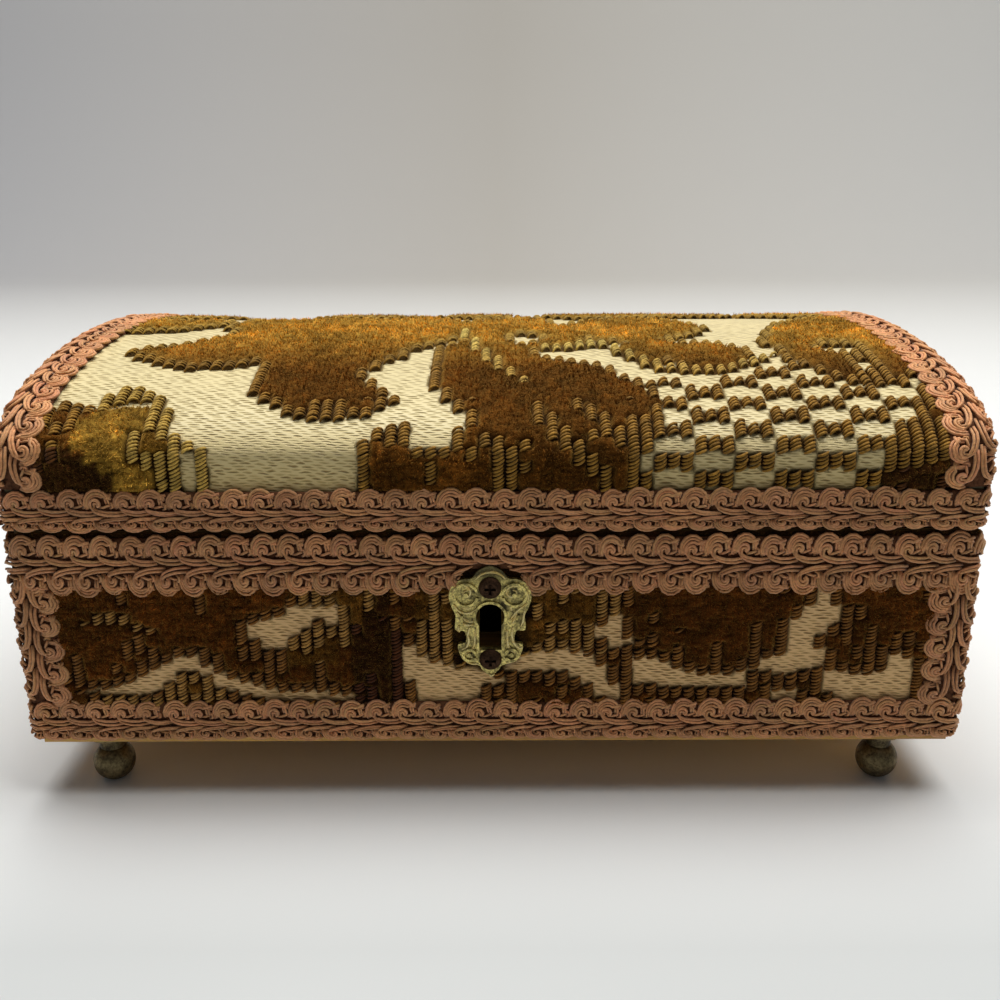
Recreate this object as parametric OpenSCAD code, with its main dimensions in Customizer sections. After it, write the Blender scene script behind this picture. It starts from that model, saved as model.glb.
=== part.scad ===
// Dome-topped keepsake box: a wooden case and lid covered in cut-and-loop velvet,
// edged with scroll gimp braid, with ball feet, stop hinges and a small box lock.
// Millimetres. +Z is up, the front with the keyhole faces -Y, and the origin is on
// the surface that the feet stand on, under the middle of the whole box.

/* [Case] */
// Width of the bare wooden case, left to right
case_w = 218; // [170:1:260]
// Depth of the bare wooden case, front to back
case_d = 142; // [110:1:170]
// Height of the case walls above the bottom board
wall_h = 50; // [48:1:80]
// Thickness of the wooden walls, rails and ends
wall_t = 7; // [6:0.5:8]
// Thickness of the bottom board
board_t = 4; // [3:0.5:6]

/* [Lid] */
// Gap between the closed lid and the case
lid_gap = 0.8; // [0.6:0.1:1.2]
// Height of the upright rim of the lid, up to where the dome springs
lid_rim_h = 16.2; // [14:0.2:24]
// Rise of the wooden dome above the rim
dome_rise = 17; // [12:0.5:30]
// Thickness of the bent dome panel
panel_t = 3; // [2:0.5:4]

/* [Covering] */
// Thickness of the velvet covering
fabric_t = 1.2; // [0.8:0.1:2]
// Thickness of the gimp braid at its two ribs
braid_t = 1.8; // [1.4:0.1:2.4]
// Thickness of the braid at its edges and in its middle groove
braid_edge_t = 1.1; // [0.8:0.1:1.2]
// Width of the braid round the rim of the case
rim_braid_w = 14.6; // [11:0.2:16]
// Width of the braid round the foot of the case
base_braid_w = 11; // [9:0.2:14]
// Width of the braid round the rim of the lid
lid_braid_w = 9.8; // [9:0.2:13]
// Bare edge of the bottom board below the foot braid
base_reveal = 1.2; // [0.6:0.1:2]
// Width of an edge braid on its broad face
edge_braid_w = 10.5; // [8:0.5:13]
// Width of the same braid where it turns round the corner
edge_braid_turn = 4; // [3:0.5:6]

/* [Lining] */
// Thickness of the lining of the case walls
lining_t = 1.2; // [0.8:0.1:2]
// Thickness of the padded lining of the lid
lid_lining_t = 1.5; // [1:0.1:2.5]
// Thickness of the padded floor
floor_pad_t = 3; // [2:0.5:5]

/* [Feet] */
// Radius of a ball foot
ball_r = 5; // [4:0.25:6]
// Height from the surface to the bottom board
foot_h = 13; // [12.5:0.5:16]
// Radius of the turned neck above the ball
neck_r = 3; // [2.5:0.25:3.5]
// Radius of the flange under the board
flange_r = 5.4; // [4.5:0.1:6]
// Thickness of the flange
flange_t = 0.8; // [0.6:0.1:1.2]
// Distance of a foot's axis from the side of the wooden case
foot_inset_x = 14; // [9:0.5:25]
// Distance of a foot's axis from the front or back of the wooden case
foot_inset_y = 6; // [6:0.5:20]
// Depth of the flat worn on the bottom of a ball
ball_flat = 0.25; // [0.1:0.05:0.5]

/* [Escutcheon and lock] */
// Sideways place of the keyhole from the middle of the case
lock_x = -1; // [-10:0.5:10]
// Depth of the keyhole's axis below the top of the case walls
key_drop = 20.4; // [20:0.2:22]
// Radius of the round part of the keyhole
key_r = 3.3; // [2.8:0.1:3.6]
// Width of the slot of the keyhole
key_slot_w = 5.2; // [4.6:0.1:5.4]
// Length of the keyhole from its axis to the foot of the slot
key_slot_h = 8.2; // [7:0.2:8.8]
// Thickness of the escutcheon plate
plate_t = 1.2; // [0.9:0.1:1.8]
// Height of its raised scrolls above the plate
relief_t = 0.6; // [0.3:0.1:0.9]
// Radius of an escutcheon screw head
screw_head_r = 2.6; // [2.2:0.1:2.9]
// Travel of the lock bolt
bolt_travel = 4; // [3:0.25:4]

/* [Hinges] */
// Distance of each hinge's middle from the side of the wooden case
hinge_inset = 49; // [30:1:60]
// Width of a hinge
hinge_w = 24; // [18:1:32]
// Thickness of a hinge leaf
leaf_t = 0.9; // [0.7:0.1:1.1]
// Radius of a hinge knuckle
knuckle_r = 1.7; // [1.5:0.1:2]
// Radius of a hinge pin
pin_r = 0.8; // [0.6:0.05:0.9]
// Angle at which the stops of a hinge meet
stop_angle = 96; // [90:1:105]

/* [Hidden] */
$fn = 48;
arch_steps = 48;           // flats round the dome
corner_steps = 4;          // flats round a braided corner
clear = 0.2;               // between pieces that slide past each other
run_clear = 0.05;          // round a pin that turns
eps = 0.01;                // past a face that is cut through
lap = 1;                   // overlap of two volumes that make one piece
soft_clear = 0.35;         // between a knuckle and the braid beside it

// Levels, from the surface up
board_z = foot_h;
wall_z = board_z + board_t;
seam_z = wall_z + wall_h;              // top of the case walls
lid_z = seam_z + lid_gap;              // underside of the lid
spring_z = lid_z + lid_rim_h;          // where the dome springs
base_braid_z = board_z + base_reveal;

// Half sizes of the wood, and the build-up of covering on it
half_w = case_w / 2;
half_d = case_d / 2;
inner_w = half_w - wall_t;
inner_d = half_d - wall_t;
cover_t = fabric_t + braid_t;
braid_r = 2.2;                         // how round the braid turns a corner

// Hinge axis: outside the braid, in the middle of the gap
hinge_x = half_w - hinge_inset;
axis_y = half_d + cover_t + knuckle_r + soft_clear;
axis_z = seam_z + lid_gap / 2;
leaf_y = inner_d + 0.5;                // front edge of a leaf
bore_r = pin_r + run_clear;
knuckle_gap = clear;
stop_r = knuckle_r + 2.3;              // reach of a hinge stop
stop_half = stop_angle / 2;
leaf_screw_r = 0.9;
leaf_screw_l = 6;
leaf_screw_head_r = 1.7;
leaf_screw_x = hinge_w / 2 - 4.5;
leaf_screw_y = half_d - wall_t / 2;

// Lock, on the inner face of the front wall
key_z = seam_z - key_drop;
lock_y = -inner_d;                     // the wall's inner face
lock_plate_t = 0.8;
lock_plate_w = 36;
lock_plate_top = seam_z - 1;
lock_plate_foot = key_z - key_slot_h - 2.4;
cap_w = 26;
cap_wall = 0.8;
cap_depth = 6;                         // from the wall to the cap's face
cap_top = seam_z - 3;
cap_foot = key_z - key_slot_h - 1.4;
bolt_t = 1.8;
bolt_y = lock_y + lock_plate_t + 0.4;  // the bolt's face towards the wall
bolt_drop = 9.4;
bolt_z = seam_z - bolt_drop;           // lower edge of the bolt's bar
bolt_h = 3.8;
bolt_l = 17.8;
bolt_tip_x = 5.9;
stud_r = 0.9;
stud_x = [-6, 2];
stud_z = bolt_z + bolt_h / 2;
talon_l = 5.6;
talon_w = 2.4;
talon_x = [-6.2, 0.4];                 // the key's bit works between the talons
hook_x = bolt_tip_x + 1.5;
hook_w = 1.6;
hook_t = 1.4;
hook_y = bolt_y + bolt_t + 0.3;        // the arm's face towards the bolt
hook_foot_z = bolt_z - 2;
hook_foot_y = lock_y + lock_plate_t + 0.9;
strike_t = 1;
strike_w = 26;
strike_z = lid_z + 1.2;
strike_h = 10;
arm_h = 3;                             // height of the hook's root on the strike
strike_screw_inset = 3;
small_screw_r = 0.8;
small_head_r = 1.5;
small_head_t = 0.6;
small_screw_l = 4.5;
tip_hole_r = 1.6;                      // where the tip of the key turns

// Escutcheon, with its sizes taken from the axis of the keyhole
plate_screw_z = [7.2, -10.7];
plate_screw_r = 1.1;
plate_screw_l = 7;                     // below the head, through plate and velvet
screw_rim_h = 0.5;
screw_dome_h = 0.9;
plate_y = -half_d - fabric_t;          // the plate's back, on the velvet

// The whole box reaches from the escutcheon screws to the hinge stops. It is
// shifted so that the origin is under the middle of that reach.
front_reach = half_d + fabric_t + plate_t + screw_rim_h + screw_dome_h;
back_reach = axis_y + stop_r * cos(stop_half);
shift_y = (front_reach - back_reach) / 2;

// ---- Shared shapes ----

// Outline of the lid in the YZ plane, grown by g from the wood's outer face.
function dome_points(g) = [
    for (i = [0:arch_steps])
        let (a = 180 * i / arch_steps)
        [-(half_d + g) * cos(a), spring_z + (dome_rise + g) * sin(a)]
];

// The same outline, closed downwards at height z0.
module lid_section(g, z0) {
    polygon(concat([[-(half_d + g), z0]], dome_points(g), [[half_d + g, z0]]));
}

// Extrudes a YZ outline from x0 to x1.
module along_x(x0, x1) {
    translate([x0, 0, 0]) rotate([90, 0, 90]) linear_extrude(x1 - x0) children();
}

// A YZ rectangle.
module yz_rect(y0, y1, z0, z1) {
    translate([y0, z0]) square([y1 - y0, z1 - z0]);
}

// A box given by two corners.
module box(a, b) {
    translate(a) cube(b - a);
}

// A rectangle about the origin whose corners are turned with radius r.
module round_rect(hw, hd, r) {
    polygon([
        for (q = [0:3], i = [0:corner_steps])
            let (a = 90 * (q + i / corner_steps),
                 sx = (q == 0 || q == 3) ? 1 : -1,
                 sy = q < 2 ? 1 : -1)
            [sx * (hw - r) + r * cos(a), sy * (hd - r) + r * sin(a)]
    ]);
}

// One flat ring of covering round the box, from the velvet's face out to t.
module braid_ring(z0, h, t) {
    translate([0, 0, z0]) linear_extrude(h) difference() {
        round_rect(half_w + fabric_t + t, half_d + fabric_t + t, braid_r);
        square([case_w + 2 * fabric_t, case_d + 2 * fabric_t], center = true);
    }
}

// Gimp braid round the box: thin scalloped edges, and two ribs of scrolls with a
// groove between them.
module braid_band(z0, w) {
    rib_edge = 0.07 * w;
    groove = 0.06 * w;
    rib = (w - 2 * rib_edge - groove) / 2;
    union() {
        braid_ring(z0, w, braid_edge_t);
        for (z = [z0 + rib_edge, z0 + rib_edge + rib + groove])
            braid_ring(z, rib, braid_t);
    }
}

module screw(head_r, head_t, shank_r, shank_l) {
    union() {
        cylinder(r = head_r, h = head_t);
        translate([0, 0, -shank_l]) cylinder(r = shank_r, h = shank_l + eps);
    }
}

// ---- Wooden case ----

module foot_places() {
    for (sx = [-1, 1], sy = [-1, 1])
        translate([sx * (half_w - foot_inset_x), sy * (half_d - foot_inset_y), 0])
            children();
}

foot_shank_r = 1.3;
foot_shank_l = 0.8 * board_t;

module bottom_board() {
    color("burlywood") difference() {
        box([-half_w, -half_d, board_z], [half_w, half_d, wall_z]);
        foot_places()
            translate([0, 0, board_z - eps])
                cylinder(r = foot_shank_r + run_clear, h = foot_shank_l + 0.3);
    }
}

// Keyhole, round at the top with a slot below, extruded along Y.
module keyhole(y0, y1, grow = 0) {
    translate([lock_x, y0, key_z]) {
        rotate([-90, 0, 0]) cylinder(r = key_r + grow, h = y1 - y0);
        box([-key_slot_w / 2 - grow, 0, -key_slot_h - grow],
            [key_slot_w / 2 + grow, y1 - y0, 0]);
    }
}

module lock_screw_places() {
    for (sx = [-1, 1], z = [lock_plate_foot + 3, lock_plate_top - 3])
        translate([lock_x + sx * (lock_plate_w / 2 - 2.4), lock_y + lock_plate_t, z])
            rotate([-90, 0, 0])
                children();
}

module plate_screw_places() {
    for (z = plate_screw_z)
        translate([lock_x, plate_y - plate_t, key_z + z]) rotate([90, 0, 0]) children();
}

module front_wall() {
    color("burlywood") difference() {
        box([-half_w, -half_d, wall_z], [half_w, -inner_d, seam_z]);
        keyhole(-half_d - eps, -inner_d + eps, 0.2);
        plate_screw_places()
            translate([0, 0, -plate_screw_l - 0.5])
                cylinder(r = plate_screw_r + run_clear, h = plate_screw_l + 1);
        lock_screw_places()
            translate([0, 0, -small_screw_l - 0.5])
                cylinder(r = small_screw_r + run_clear, h = small_screw_l + 1);
    }
}

// The bed of a hinge leaf, cut into the edge that it lies on.
module leaf_beds(z0, z1, front) {
    for (sx = [-1, 1])
        box([sx * hinge_x - hinge_w / 2 - clear, front, z0],
            [sx * hinge_x + hinge_w / 2 + clear, half_d + cover_t + eps, z1]);
}

// Screw places of both leaves on one edge, with the head's face at height z.
module leaf_screw_places(z) {
    for (sx = [-1, 1], s = [-1, 1])
        translate([sx * hinge_x + s * leaf_screw_x, leaf_screw_y, z]) children();
}

module back_wall() {
    color("burlywood") difference() {
        box([-half_w, inner_d, wall_z], [half_w, half_d, seam_z]);
        leaf_beds(seam_z - leaf_t, seam_z + eps, leaf_y - clear);
        leaf_screw_places(seam_z)
            translate([0, 0, -leaf_screw_l - 1])
                cylinder(r = leaf_screw_r + run_clear, h = leaf_screw_l + 1);
    }
}

module end_wall(side) {
    color("burlywood")
        box([side > 0 ? inner_w : -half_w, -inner_d, wall_z],
            [side > 0 ? half_w : -inner_w, inner_d, seam_z]);
}

// ---- Velvet and braid of the case ----

fabric_z = board_z + base_reveal;

module front_fabric() {
    color("saddlebrown") difference() {
        box([-half_w - fabric_t, -half_d - fabric_t, fabric_z],
            [half_w + fabric_t, -half_d, seam_z]);
        keyhole(-half_d - fabric_t - eps, -half_d + eps, 0.1);
        plate_screw_places()
            translate([0, 0, -plate_screw_l])
                cylinder(r = plate_screw_r + run_clear, h = plate_screw_l);
    }
}

module back_fabric() {
    color("saddlebrown") difference() {
        box([-half_w - fabric_t, half_d, fabric_z],
            [half_w + fabric_t, half_d + fabric_t, seam_z]);
        leaf_beds(seam_z - leaf_t, seam_z + eps, half_d - eps);
    }
}

module end_fabric(side) {
    color("saddlebrown")
        box([side > 0 ? half_w : -half_w - fabric_t, -half_d, fabric_z],
            [side > 0 ? half_w + fabric_t : -half_w, half_d, seam_z]);
}

module rim_braid() {
    color("rosybrown") difference() {
        braid_band(seam_z - rim_braid_w, rim_braid_w);
        leaf_beds(seam_z - leaf_t, seam_z + eps, half_d);
        // The braid makes room for the crest of the escutcheon.
        translate([lock_x, plate_y - braid_t - 1, key_z])
            rotate([-90, 0, 0]) mirror([0, 1, 0])
                linear_extrude(braid_t + 1 + eps) plate_outline(1.04);
    }
}

module base_braid() {
    color("rosybrown") braid_band(base_braid_z, base_braid_w);
}

// One upright braid, folded round a corner, its broad side on the front or back.
module corner_braid() {
    z0 = base_braid_z + base_braid_w;
    z1 = seam_z - rim_braid_w;
    x = half_w + fabric_t;
    y = half_d + fabric_t;
    translate([0, 0, z0]) linear_extrude(z1 - z0) intersection() {
        difference() {
            round_rect(x + braid_t, y + braid_t, braid_r);
            translate([-x, -y]) square([2 * x, 2 * y]);
        }
        union() {
            translate([x + braid_t - edge_braid_w, y - eps])
                square([edge_braid_w + lap, braid_t + lap]);
            translate([x - eps, y + braid_t - edge_braid_turn])
                square([braid_t + lap, edge_braid_turn + lap]);
        }
    }
}

module corner_braids() {
    color("rosybrown") for (mx = [0, 1], my = [0, 1])
        mirror([mx, 0, 0]) mirror([0, my, 0]) corner_braid();
}

// ---- Lining of the case ----

module floor_pad() {
    w = inner_w - lining_t;
    d = inner_d - lining_t;
    crown = 0.8;
    color("rosybrown") union() {
        box([-w, -d, wall_z], [w, d, wall_z + floor_pad_t - crown]);
        box([-w + crown, -d + crown, wall_z], [w - crown, d - crown, wall_z + floor_pad_t]);
    }
}

module wall_lining() {
    m = 0.3;
    color("rosybrown") difference() {
        box([-inner_w, -inner_d, wall_z], [inner_w, inner_d, seam_z - 0.8]);
        box([-inner_w + lining_t, -inner_d + lining_t, wall_z - eps],
            [inner_w - lining_t, inner_d - lining_t, seam_z]);
        box([lock_x - lock_plate_w / 2 - m, -inner_d - eps, lock_plate_foot - m],
            [lock_x + lock_plate_w / 2 + m, -inner_d + lining_t + eps, seam_z]);
    }
}

// ---- Feet ----

module ball_foot(sx, sy) {
    color("darkgoldenrod")
        translate([sx * (half_w - foot_inset_x), sy * (half_d - foot_inset_y), 0])
            union() {
                difference() {
                    translate([0, 0, ball_r - ball_flat]) sphere(r = ball_r);
                    translate([0, 0, -2]) cylinder(r = ball_r, h = 2);
                }
                translate([0, 0, ball_r]) cylinder(r = neck_r, h = board_z - ball_r - eps);
                translate([0, 0, board_z - flange_t]) cylinder(r = flange_r, h = flange_t);
                translate([0, 0, board_z - eps])
                    cylinder(r = foot_shank_r, h = foot_shank_l);
            }
}

// ---- Escutcheon ----

// Right half of the plate's edge, from the crest to the tip: [x, z] from the axis
// of the keyhole. The edge runs through these points as one smooth curve.
edge_points = [
    [0, 12.5], [2.8, 11.2], [4.2, 9.4], [6.3, 9.2], [8.5, 7.9], [9.5, 5.2],
    [8.9, 2.4], [8.0, 0.2], [8.1, -3.3], [6.0, -3.7], [5.7, -6.4], [7.5, -7.1],
    [7.2, -9.2], [6.0, -11.3], [2.7, -12.4], [2.0, -13.4], [0, -15.0]
];
curve_steps = 4;

function whole_edge(p) = concat(p, [for (i = [len(p) - 2:-1:1]) [-p[i][0], p[i][1]]]);

// A point of the closed Catmull-Rom curve through p, at t of the way from p[i] on.
function curve_point(p, i, t) =
    let (n = len(p), a = p[(i - 1 + n) % n], b = p[i], c = p[(i + 1) % n], d = p[(i + 2) % n])
    0.5 * (2 * b + (c - a) * t + (2 * a - 5 * b + 4 * c - d) * t * t
           + (3 * b - a - 3 * c + d) * t * t * t);

module plate_outline(k) {
    p = whole_edge(edge_points);
    scale([k, k]) polygon([
        for (i = [0:len(p) - 1], s = [0:curve_steps - 1])
            curve_point(p, i, s / curve_steps)
    ]);
}

// A scroll of the relief: a ring that is open towards one side, with a boss in it.
module volute(r, wire) {
    difference() {
        circle(r = r);
        circle(r = r - wire);
        translate([-r - 1, -wire]) square([r + 1, wire * 1.4]);
    }
    circle(r = wire * 0.9);
}

wire = 0.6;                            // width of the raised lines
upper_volute = [5.6, 5.4];
upper_volute_r = 3;
lower_volute = [4.9, -9.6];
lower_volute_r = 1.7;
waist_rib = [6.6, -3];
waist_rib_h = 3.4;

module plate_relief() {
    for (m = [0, 1]) mirror([m, 0]) {
        translate(upper_volute) volute(upper_volute_r, wire);
        translate(lower_volute) volute(lower_volute_r, wire);
        translate(waist_rib - [wire / 2, 0]) square([wire, waist_rib_h]);
    }
    circle(r = key_r + wire);
    translate([-key_slot_w / 2 - wire, -key_slot_h - wire])
        square([key_slot_w + 2 * wire, key_slot_h]);
}

module escutcheon() {
    color("goldenrod") difference() {
        translate([lock_x, plate_y, key_z]) rotate([90, 0, 0]) union() {
            linear_extrude(plate_t) plate_outline(1);
            linear_extrude(plate_t + relief_t) intersection() {
                plate_relief();
                plate_outline(0.97);
            }
        }
        keyhole(plate_y - plate_t - relief_t - 1, plate_y + 1);
        plate_screw_places() {
            translate([0, 0, -plate_t - 1])
                cylinder(r = plate_screw_r + 0.1, h = plate_t + 2);
            cylinder(r = screw_head_r + 0.15, h = relief_t + 1);
        }
    }
}

module cross_recess(r, depth) {
    for (a = [0, 90])
        rotate(a) translate([-r, -0.25 * r, -depth]) cube([2 * r, 0.5 * r, depth + 1]);
}

module escutcheon_screws() {
    head_h = screw_rim_h + screw_dome_h;
    color("dimgray") plate_screw_places() difference() {
        union() {
            rotate_extrude() polygon([
                [0, 0], [screw_head_r, 0], [screw_head_r, screw_rim_h],
                [0.85 * screw_head_r, 0.75 * head_h], [0.55 * screw_head_r, head_h],
                [0, head_h]
            ]);
            translate([0, 0, -plate_screw_l])
                cylinder(r = plate_screw_r, h = plate_screw_l + eps);
        }
        translate([0, 0, head_h]) cross_recess(0.5 * screw_head_r, 0.7);
    }
}

// ---- Lock ----

module lock_plate() {
    color("goldenrod") union() {
        difference() {
            box([lock_x - lock_plate_w / 2, lock_y, lock_plate_foot],
                [lock_x + lock_plate_w / 2, lock_y + lock_plate_t, lock_plate_top]);
            keyhole(lock_y - eps, lock_y + lock_plate_t + eps);
            lock_screw_places()
                translate([0, 0, -lock_plate_t - 1])
                    cylinder(r = small_screw_r + run_clear, h = lock_plate_t + 2);
        }
        for (x = stud_x)
            translate([lock_x + x, lock_y + lock_plate_t - eps, stud_z])
                rotate([-90, 0, 0])
                    cylinder(r = stud_r, h = cap_depth - cap_wall - lock_plate_t);
    }
}

module lock_cap() {
    y0 = lock_y + lock_plate_t;
    y1 = lock_y + cap_depth;
    x0 = lock_x - cap_w / 2;
    x1 = lock_x + cap_w / 2;
    color("goldenrod") difference() {
        box([x0, y0, cap_foot], [x1, y1, cap_top]);
        box([x0 + cap_wall, y0 - eps, cap_foot + cap_wall],
            [x1 - cap_wall, y1 - cap_wall, cap_top - cap_wall]);
        // The hook of the strike drops in here.
        box([lock_x + hook_x - 0.8, y0 - eps, cap_top - cap_wall - eps],
            [lock_x + hook_x + hook_w + 0.8, y1 - cap_wall, cap_top + eps]);
        translate([lock_x, y1 - cap_wall - eps, key_z])
            rotate([-90, 0, 0]) cylinder(r = tip_hole_r, h = cap_wall + 1);
    }
}

module lock_bolt() {
    tail_x = bolt_tip_x - bolt_l;
    color("darkgoldenrod")
        translate([lock_x, bolt_y + bolt_t, 0]) rotate([90, 0, 0]) linear_extrude(bolt_t)
            difference() {
                union() {
                    translate([tail_x, bolt_z]) square([bolt_l, bolt_h]);
                    for (x = talon_x)
                        translate([x, bolt_z - talon_l]) square([talon_w, talon_l + eps]);
                }
                for (x = stud_x) {
                    translate([x - bolt_travel - 0.2, stud_z - stud_r - 0.1])
                        square([bolt_travel + 0.3, 2 * stud_r + 0.2]);
                    for (e = [-bolt_travel - 0.2, 0.1])
                        translate([x + e, stud_z]) circle(r = stud_r + 0.1);
                }
            }
}

// A bent strip under the top of the cap, which presses on the bolt.
module lock_spring() {
    strip_t = 0.4;
    z_top = cap_top - cap_wall;
    drop = z_top - strip_t - (bolt_z + bolt_h) - 0.1;
    length = 14;
    steps = 10;
    line = [for (i = [0:steps]) let (t = i / steps) [length * t, -drop * pow(t, 2)]];
    color("silver")
        translate([lock_x - cap_w / 2 + cap_wall + 0.4, bolt_y + 1.6, z_top])
            rotate([90, 0, 0]) linear_extrude(1.4)
                polygon(concat(line, [for (i = [steps:-1:0]) line[i] - [0, strip_t]]));
}

module lock_screws() {
    color("goldenrod")
        lock_screw_places() screw(small_head_r, small_head_t, small_screw_r, small_screw_l);
}

module strike_screw_places() {
    for (s = [-1, 1])
        translate([lock_x + s * (strike_w / 2 - strike_screw_inset), lock_y + strike_t,
                   strike_z + strike_h / 2])
            rotate([-90, 0, 0])
                children();
}

module lock_strike() {
    color("goldenrod") union() {
        difference() {
            box([lock_x - strike_w / 2, lock_y, strike_z],
                [lock_x + strike_w / 2, lock_y + strike_t, strike_z + strike_h]);
            strike_screw_places()
                translate([0, 0, -strike_t - 1])
                    cylinder(r = small_screw_r + run_clear, h = strike_t + 2);
        }
        // The hook reaches down behind the bolt and turns under it.
        along_x(lock_x + hook_x, lock_x + hook_x + hook_w) {
            yz_rect(lock_y + strike_t - eps, hook_y + hook_t, strike_z, strike_z + arm_h);
            yz_rect(hook_y, hook_y + hook_t, hook_foot_z, strike_z + eps);
            yz_rect(hook_foot_y, hook_y + hook_t, hook_foot_z, bolt_z - 0.4);
        }
    }
}

module strike_screws() {
    color("goldenrod")
        strike_screw_places() screw(small_head_r, small_head_t, small_screw_r, small_screw_l);
}

// ---- Hinges ----

hinge_third = hinge_w / 3;

// A cylinder about the pins' axis, from x0 to x1.
module axis_cylinder(x0, x1, r) {
    translate([x0, axis_y, axis_z]) rotate([0, 90, 0]) cylinder(r = r, h = x1 - x0);
}

// Section of a knuckle with its stop, a lug that stands out at angle a above the level.
module knuckle_section(a) {
    root = pin_r + 0.4;
    translate([axis_y, axis_z]) {
        circle(r = knuckle_r);
        rotate(a) translate([root, a > 0 ? 0 : -leaf_t]) square([stop_r - root, leaf_t]);
    }
}

// The case's leaf has the two outer knuckles; its stop runs the whole width.
module case_leaf(x) {
    mid = hinge_third / 2;
    color("goldenrod") difference() {
        along_x(x - hinge_w / 2, x + hinge_w / 2) {
            yz_rect(leaf_y, axis_y, seam_z - leaf_t, seam_z);
            knuckle_section(-stop_half);
        }
        axis_cylinder(x - mid, x + mid, knuckle_r + clear);
        axis_cylinder(x - hinge_w, x + hinge_w, bore_r);
        leaf_screw_places(seam_z)
            translate([0, 0, -leaf_t - 1]) cylinder(r = leaf_screw_r + run_clear, h = leaf_t + 2);
    }
}

// The lid's leaf has the middle knuckle and its stop.
module lid_leaf(x) {
    mid = hinge_third / 2 - knuckle_gap;
    color("goldenrod") difference() {
        union() {
            along_x(x - hinge_w / 2, x + hinge_w / 2)
                yz_rect(leaf_y, axis_y, lid_z, lid_z + leaf_t);
            along_x(x - mid, x + mid) knuckle_section(stop_half);
        }
        axis_cylinder(x - hinge_w, x - mid, knuckle_r + clear);
        axis_cylinder(x + mid, x + hinge_w, knuckle_r + clear);
        axis_cylinder(x - hinge_w, x + hinge_w, bore_r);
        leaf_screw_places(lid_z)
            translate([0, 0, -1]) cylinder(r = leaf_screw_r + run_clear, h = leaf_t + 2);
    }
}

module hinge_pins() {
    color("darkgoldenrod") for (sx = [-1, 1])
        translate([sx * hinge_x - hinge_w / 2, axis_y, axis_z])
            rotate([0, 90, 0]) cylinder(r = pin_r, h = hinge_w);
}

leaf_head_t = 0.25;

module hinge_case_screws() {
    color("goldenrod") leaf_screw_places(seam_z)
        screw(leaf_screw_head_r, leaf_head_t, leaf_screw_r, leaf_screw_l);
}

module hinge_lid_screws() {
    color("goldenrod") leaf_screw_places(lid_z)
        mirror([0, 0, 1]) screw(leaf_screw_head_r, leaf_head_t, leaf_screw_r, leaf_screw_l);
}

// ---- Wooden lid ----

// The frame of the lid between y0 and y1, with its top edge shaped to the panel.
module frame_section(y0, y1) {
    intersection() {
        polygon(concat([[-half_d, lid_z], [-half_d, spring_z]], dome_points(-panel_t),
                       [[half_d, spring_z], [half_d, lid_z]]));
        yz_rect(y0, y1, lid_z, spring_z + dome_rise);
    }
}

module lid_front_rail() {
    color("burlywood") difference() {
        along_x(-half_w, half_w) frame_section(-half_d, -inner_d);
        strike_screw_places()
            translate([0, 0, -small_screw_l - 0.5])
                cylinder(r = small_screw_r + run_clear, h = small_screw_l + 1);
    }
}

module lid_back_rail() {
    color("burlywood") difference() {
        along_x(-half_w, half_w) frame_section(inner_d, half_d);
        leaf_beds(lid_z - eps, lid_z + leaf_t, leaf_y - clear);
        leaf_screw_places(lid_z)
            cylinder(r = leaf_screw_r + run_clear, h = leaf_screw_l + 1);
    }
}

module lid_end(side) {
    color("burlywood")
        along_x(side > 0 ? inner_w : -half_w, side > 0 ? half_w : -inner_w)
            frame_section(-inner_d, inner_d);
}

module lid_panel() {
    color("tan") along_x(-half_w, half_w) difference() {
        lid_section(0, spring_z);
        lid_section(-panel_t, spring_z - 1);
    }
}

// ---- Velvet, braid and lining of the lid ----

module lid_top_fabric() {
    color("saddlebrown") difference() {
        along_x(-half_w - fabric_t, half_w + fabric_t) difference() {
            lid_section(fabric_t, lid_z);
            lid_section(0, lid_z - 1);
        }
        leaf_beds(lid_z - eps, lid_z + leaf_t, half_d - eps);
    }
}

module lid_end_fabric(side) {
    color("saddlebrown")
        along_x(side > 0 ? half_w : -half_w - fabric_t, side > 0 ? half_w + fabric_t : -half_w)
            lid_section(0, lid_z);
}

module lid_rim_braid() {
    color("rosybrown") difference() {
        braid_band(lid_z, lid_braid_w);
        leaf_beds(lid_z - eps, lid_z + leaf_t, half_d);
    }
}

// A braid along the edge of the dome, folded down over the end.
module arch_braid(side) {
    z0 = lid_z + lid_braid_w;
    x = half_w + fabric_t;
    turn = edge_braid_turn - braid_t;
    color("rosybrown") mirror([side > 0 ? 0 : 1, 0, 0]) union() {
        along_x(x + braid_t - edge_braid_w, x + braid_t) difference() {
            lid_section(cover_t, z0);
            lid_section(fabric_t, z0 - 1);
        }
        along_x(x, x + braid_t) difference() {
            lid_section(cover_t - eps, z0);
            lid_section(fabric_t - turn, z0 - 1);
        }
    }
}

module lid_lining() {
    z0 = lid_z + 0.6;
    m = 0.3;
    color("rosybrown") difference() {
        along_x(-inner_w, inner_w) difference() {
            intersection() {
                lid_section(-panel_t, z0);
                yz_rect(-inner_d, inner_d, z0, spring_z + dome_rise);
            }
            intersection() {
                lid_section(-panel_t - lid_lining_t, z0 - 1);
                yz_rect(-inner_d + lid_lining_t, inner_d - lid_lining_t, z0 - 1,
                        spring_z + dome_rise);
            }
        }
        box([lock_x - strike_w / 2 - m, -inner_d - eps, z0 - eps],
            [lock_x + strike_w / 2 + m, -inner_d + lid_lining_t + eps, strike_z + strike_h + m]);
    }
}

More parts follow.
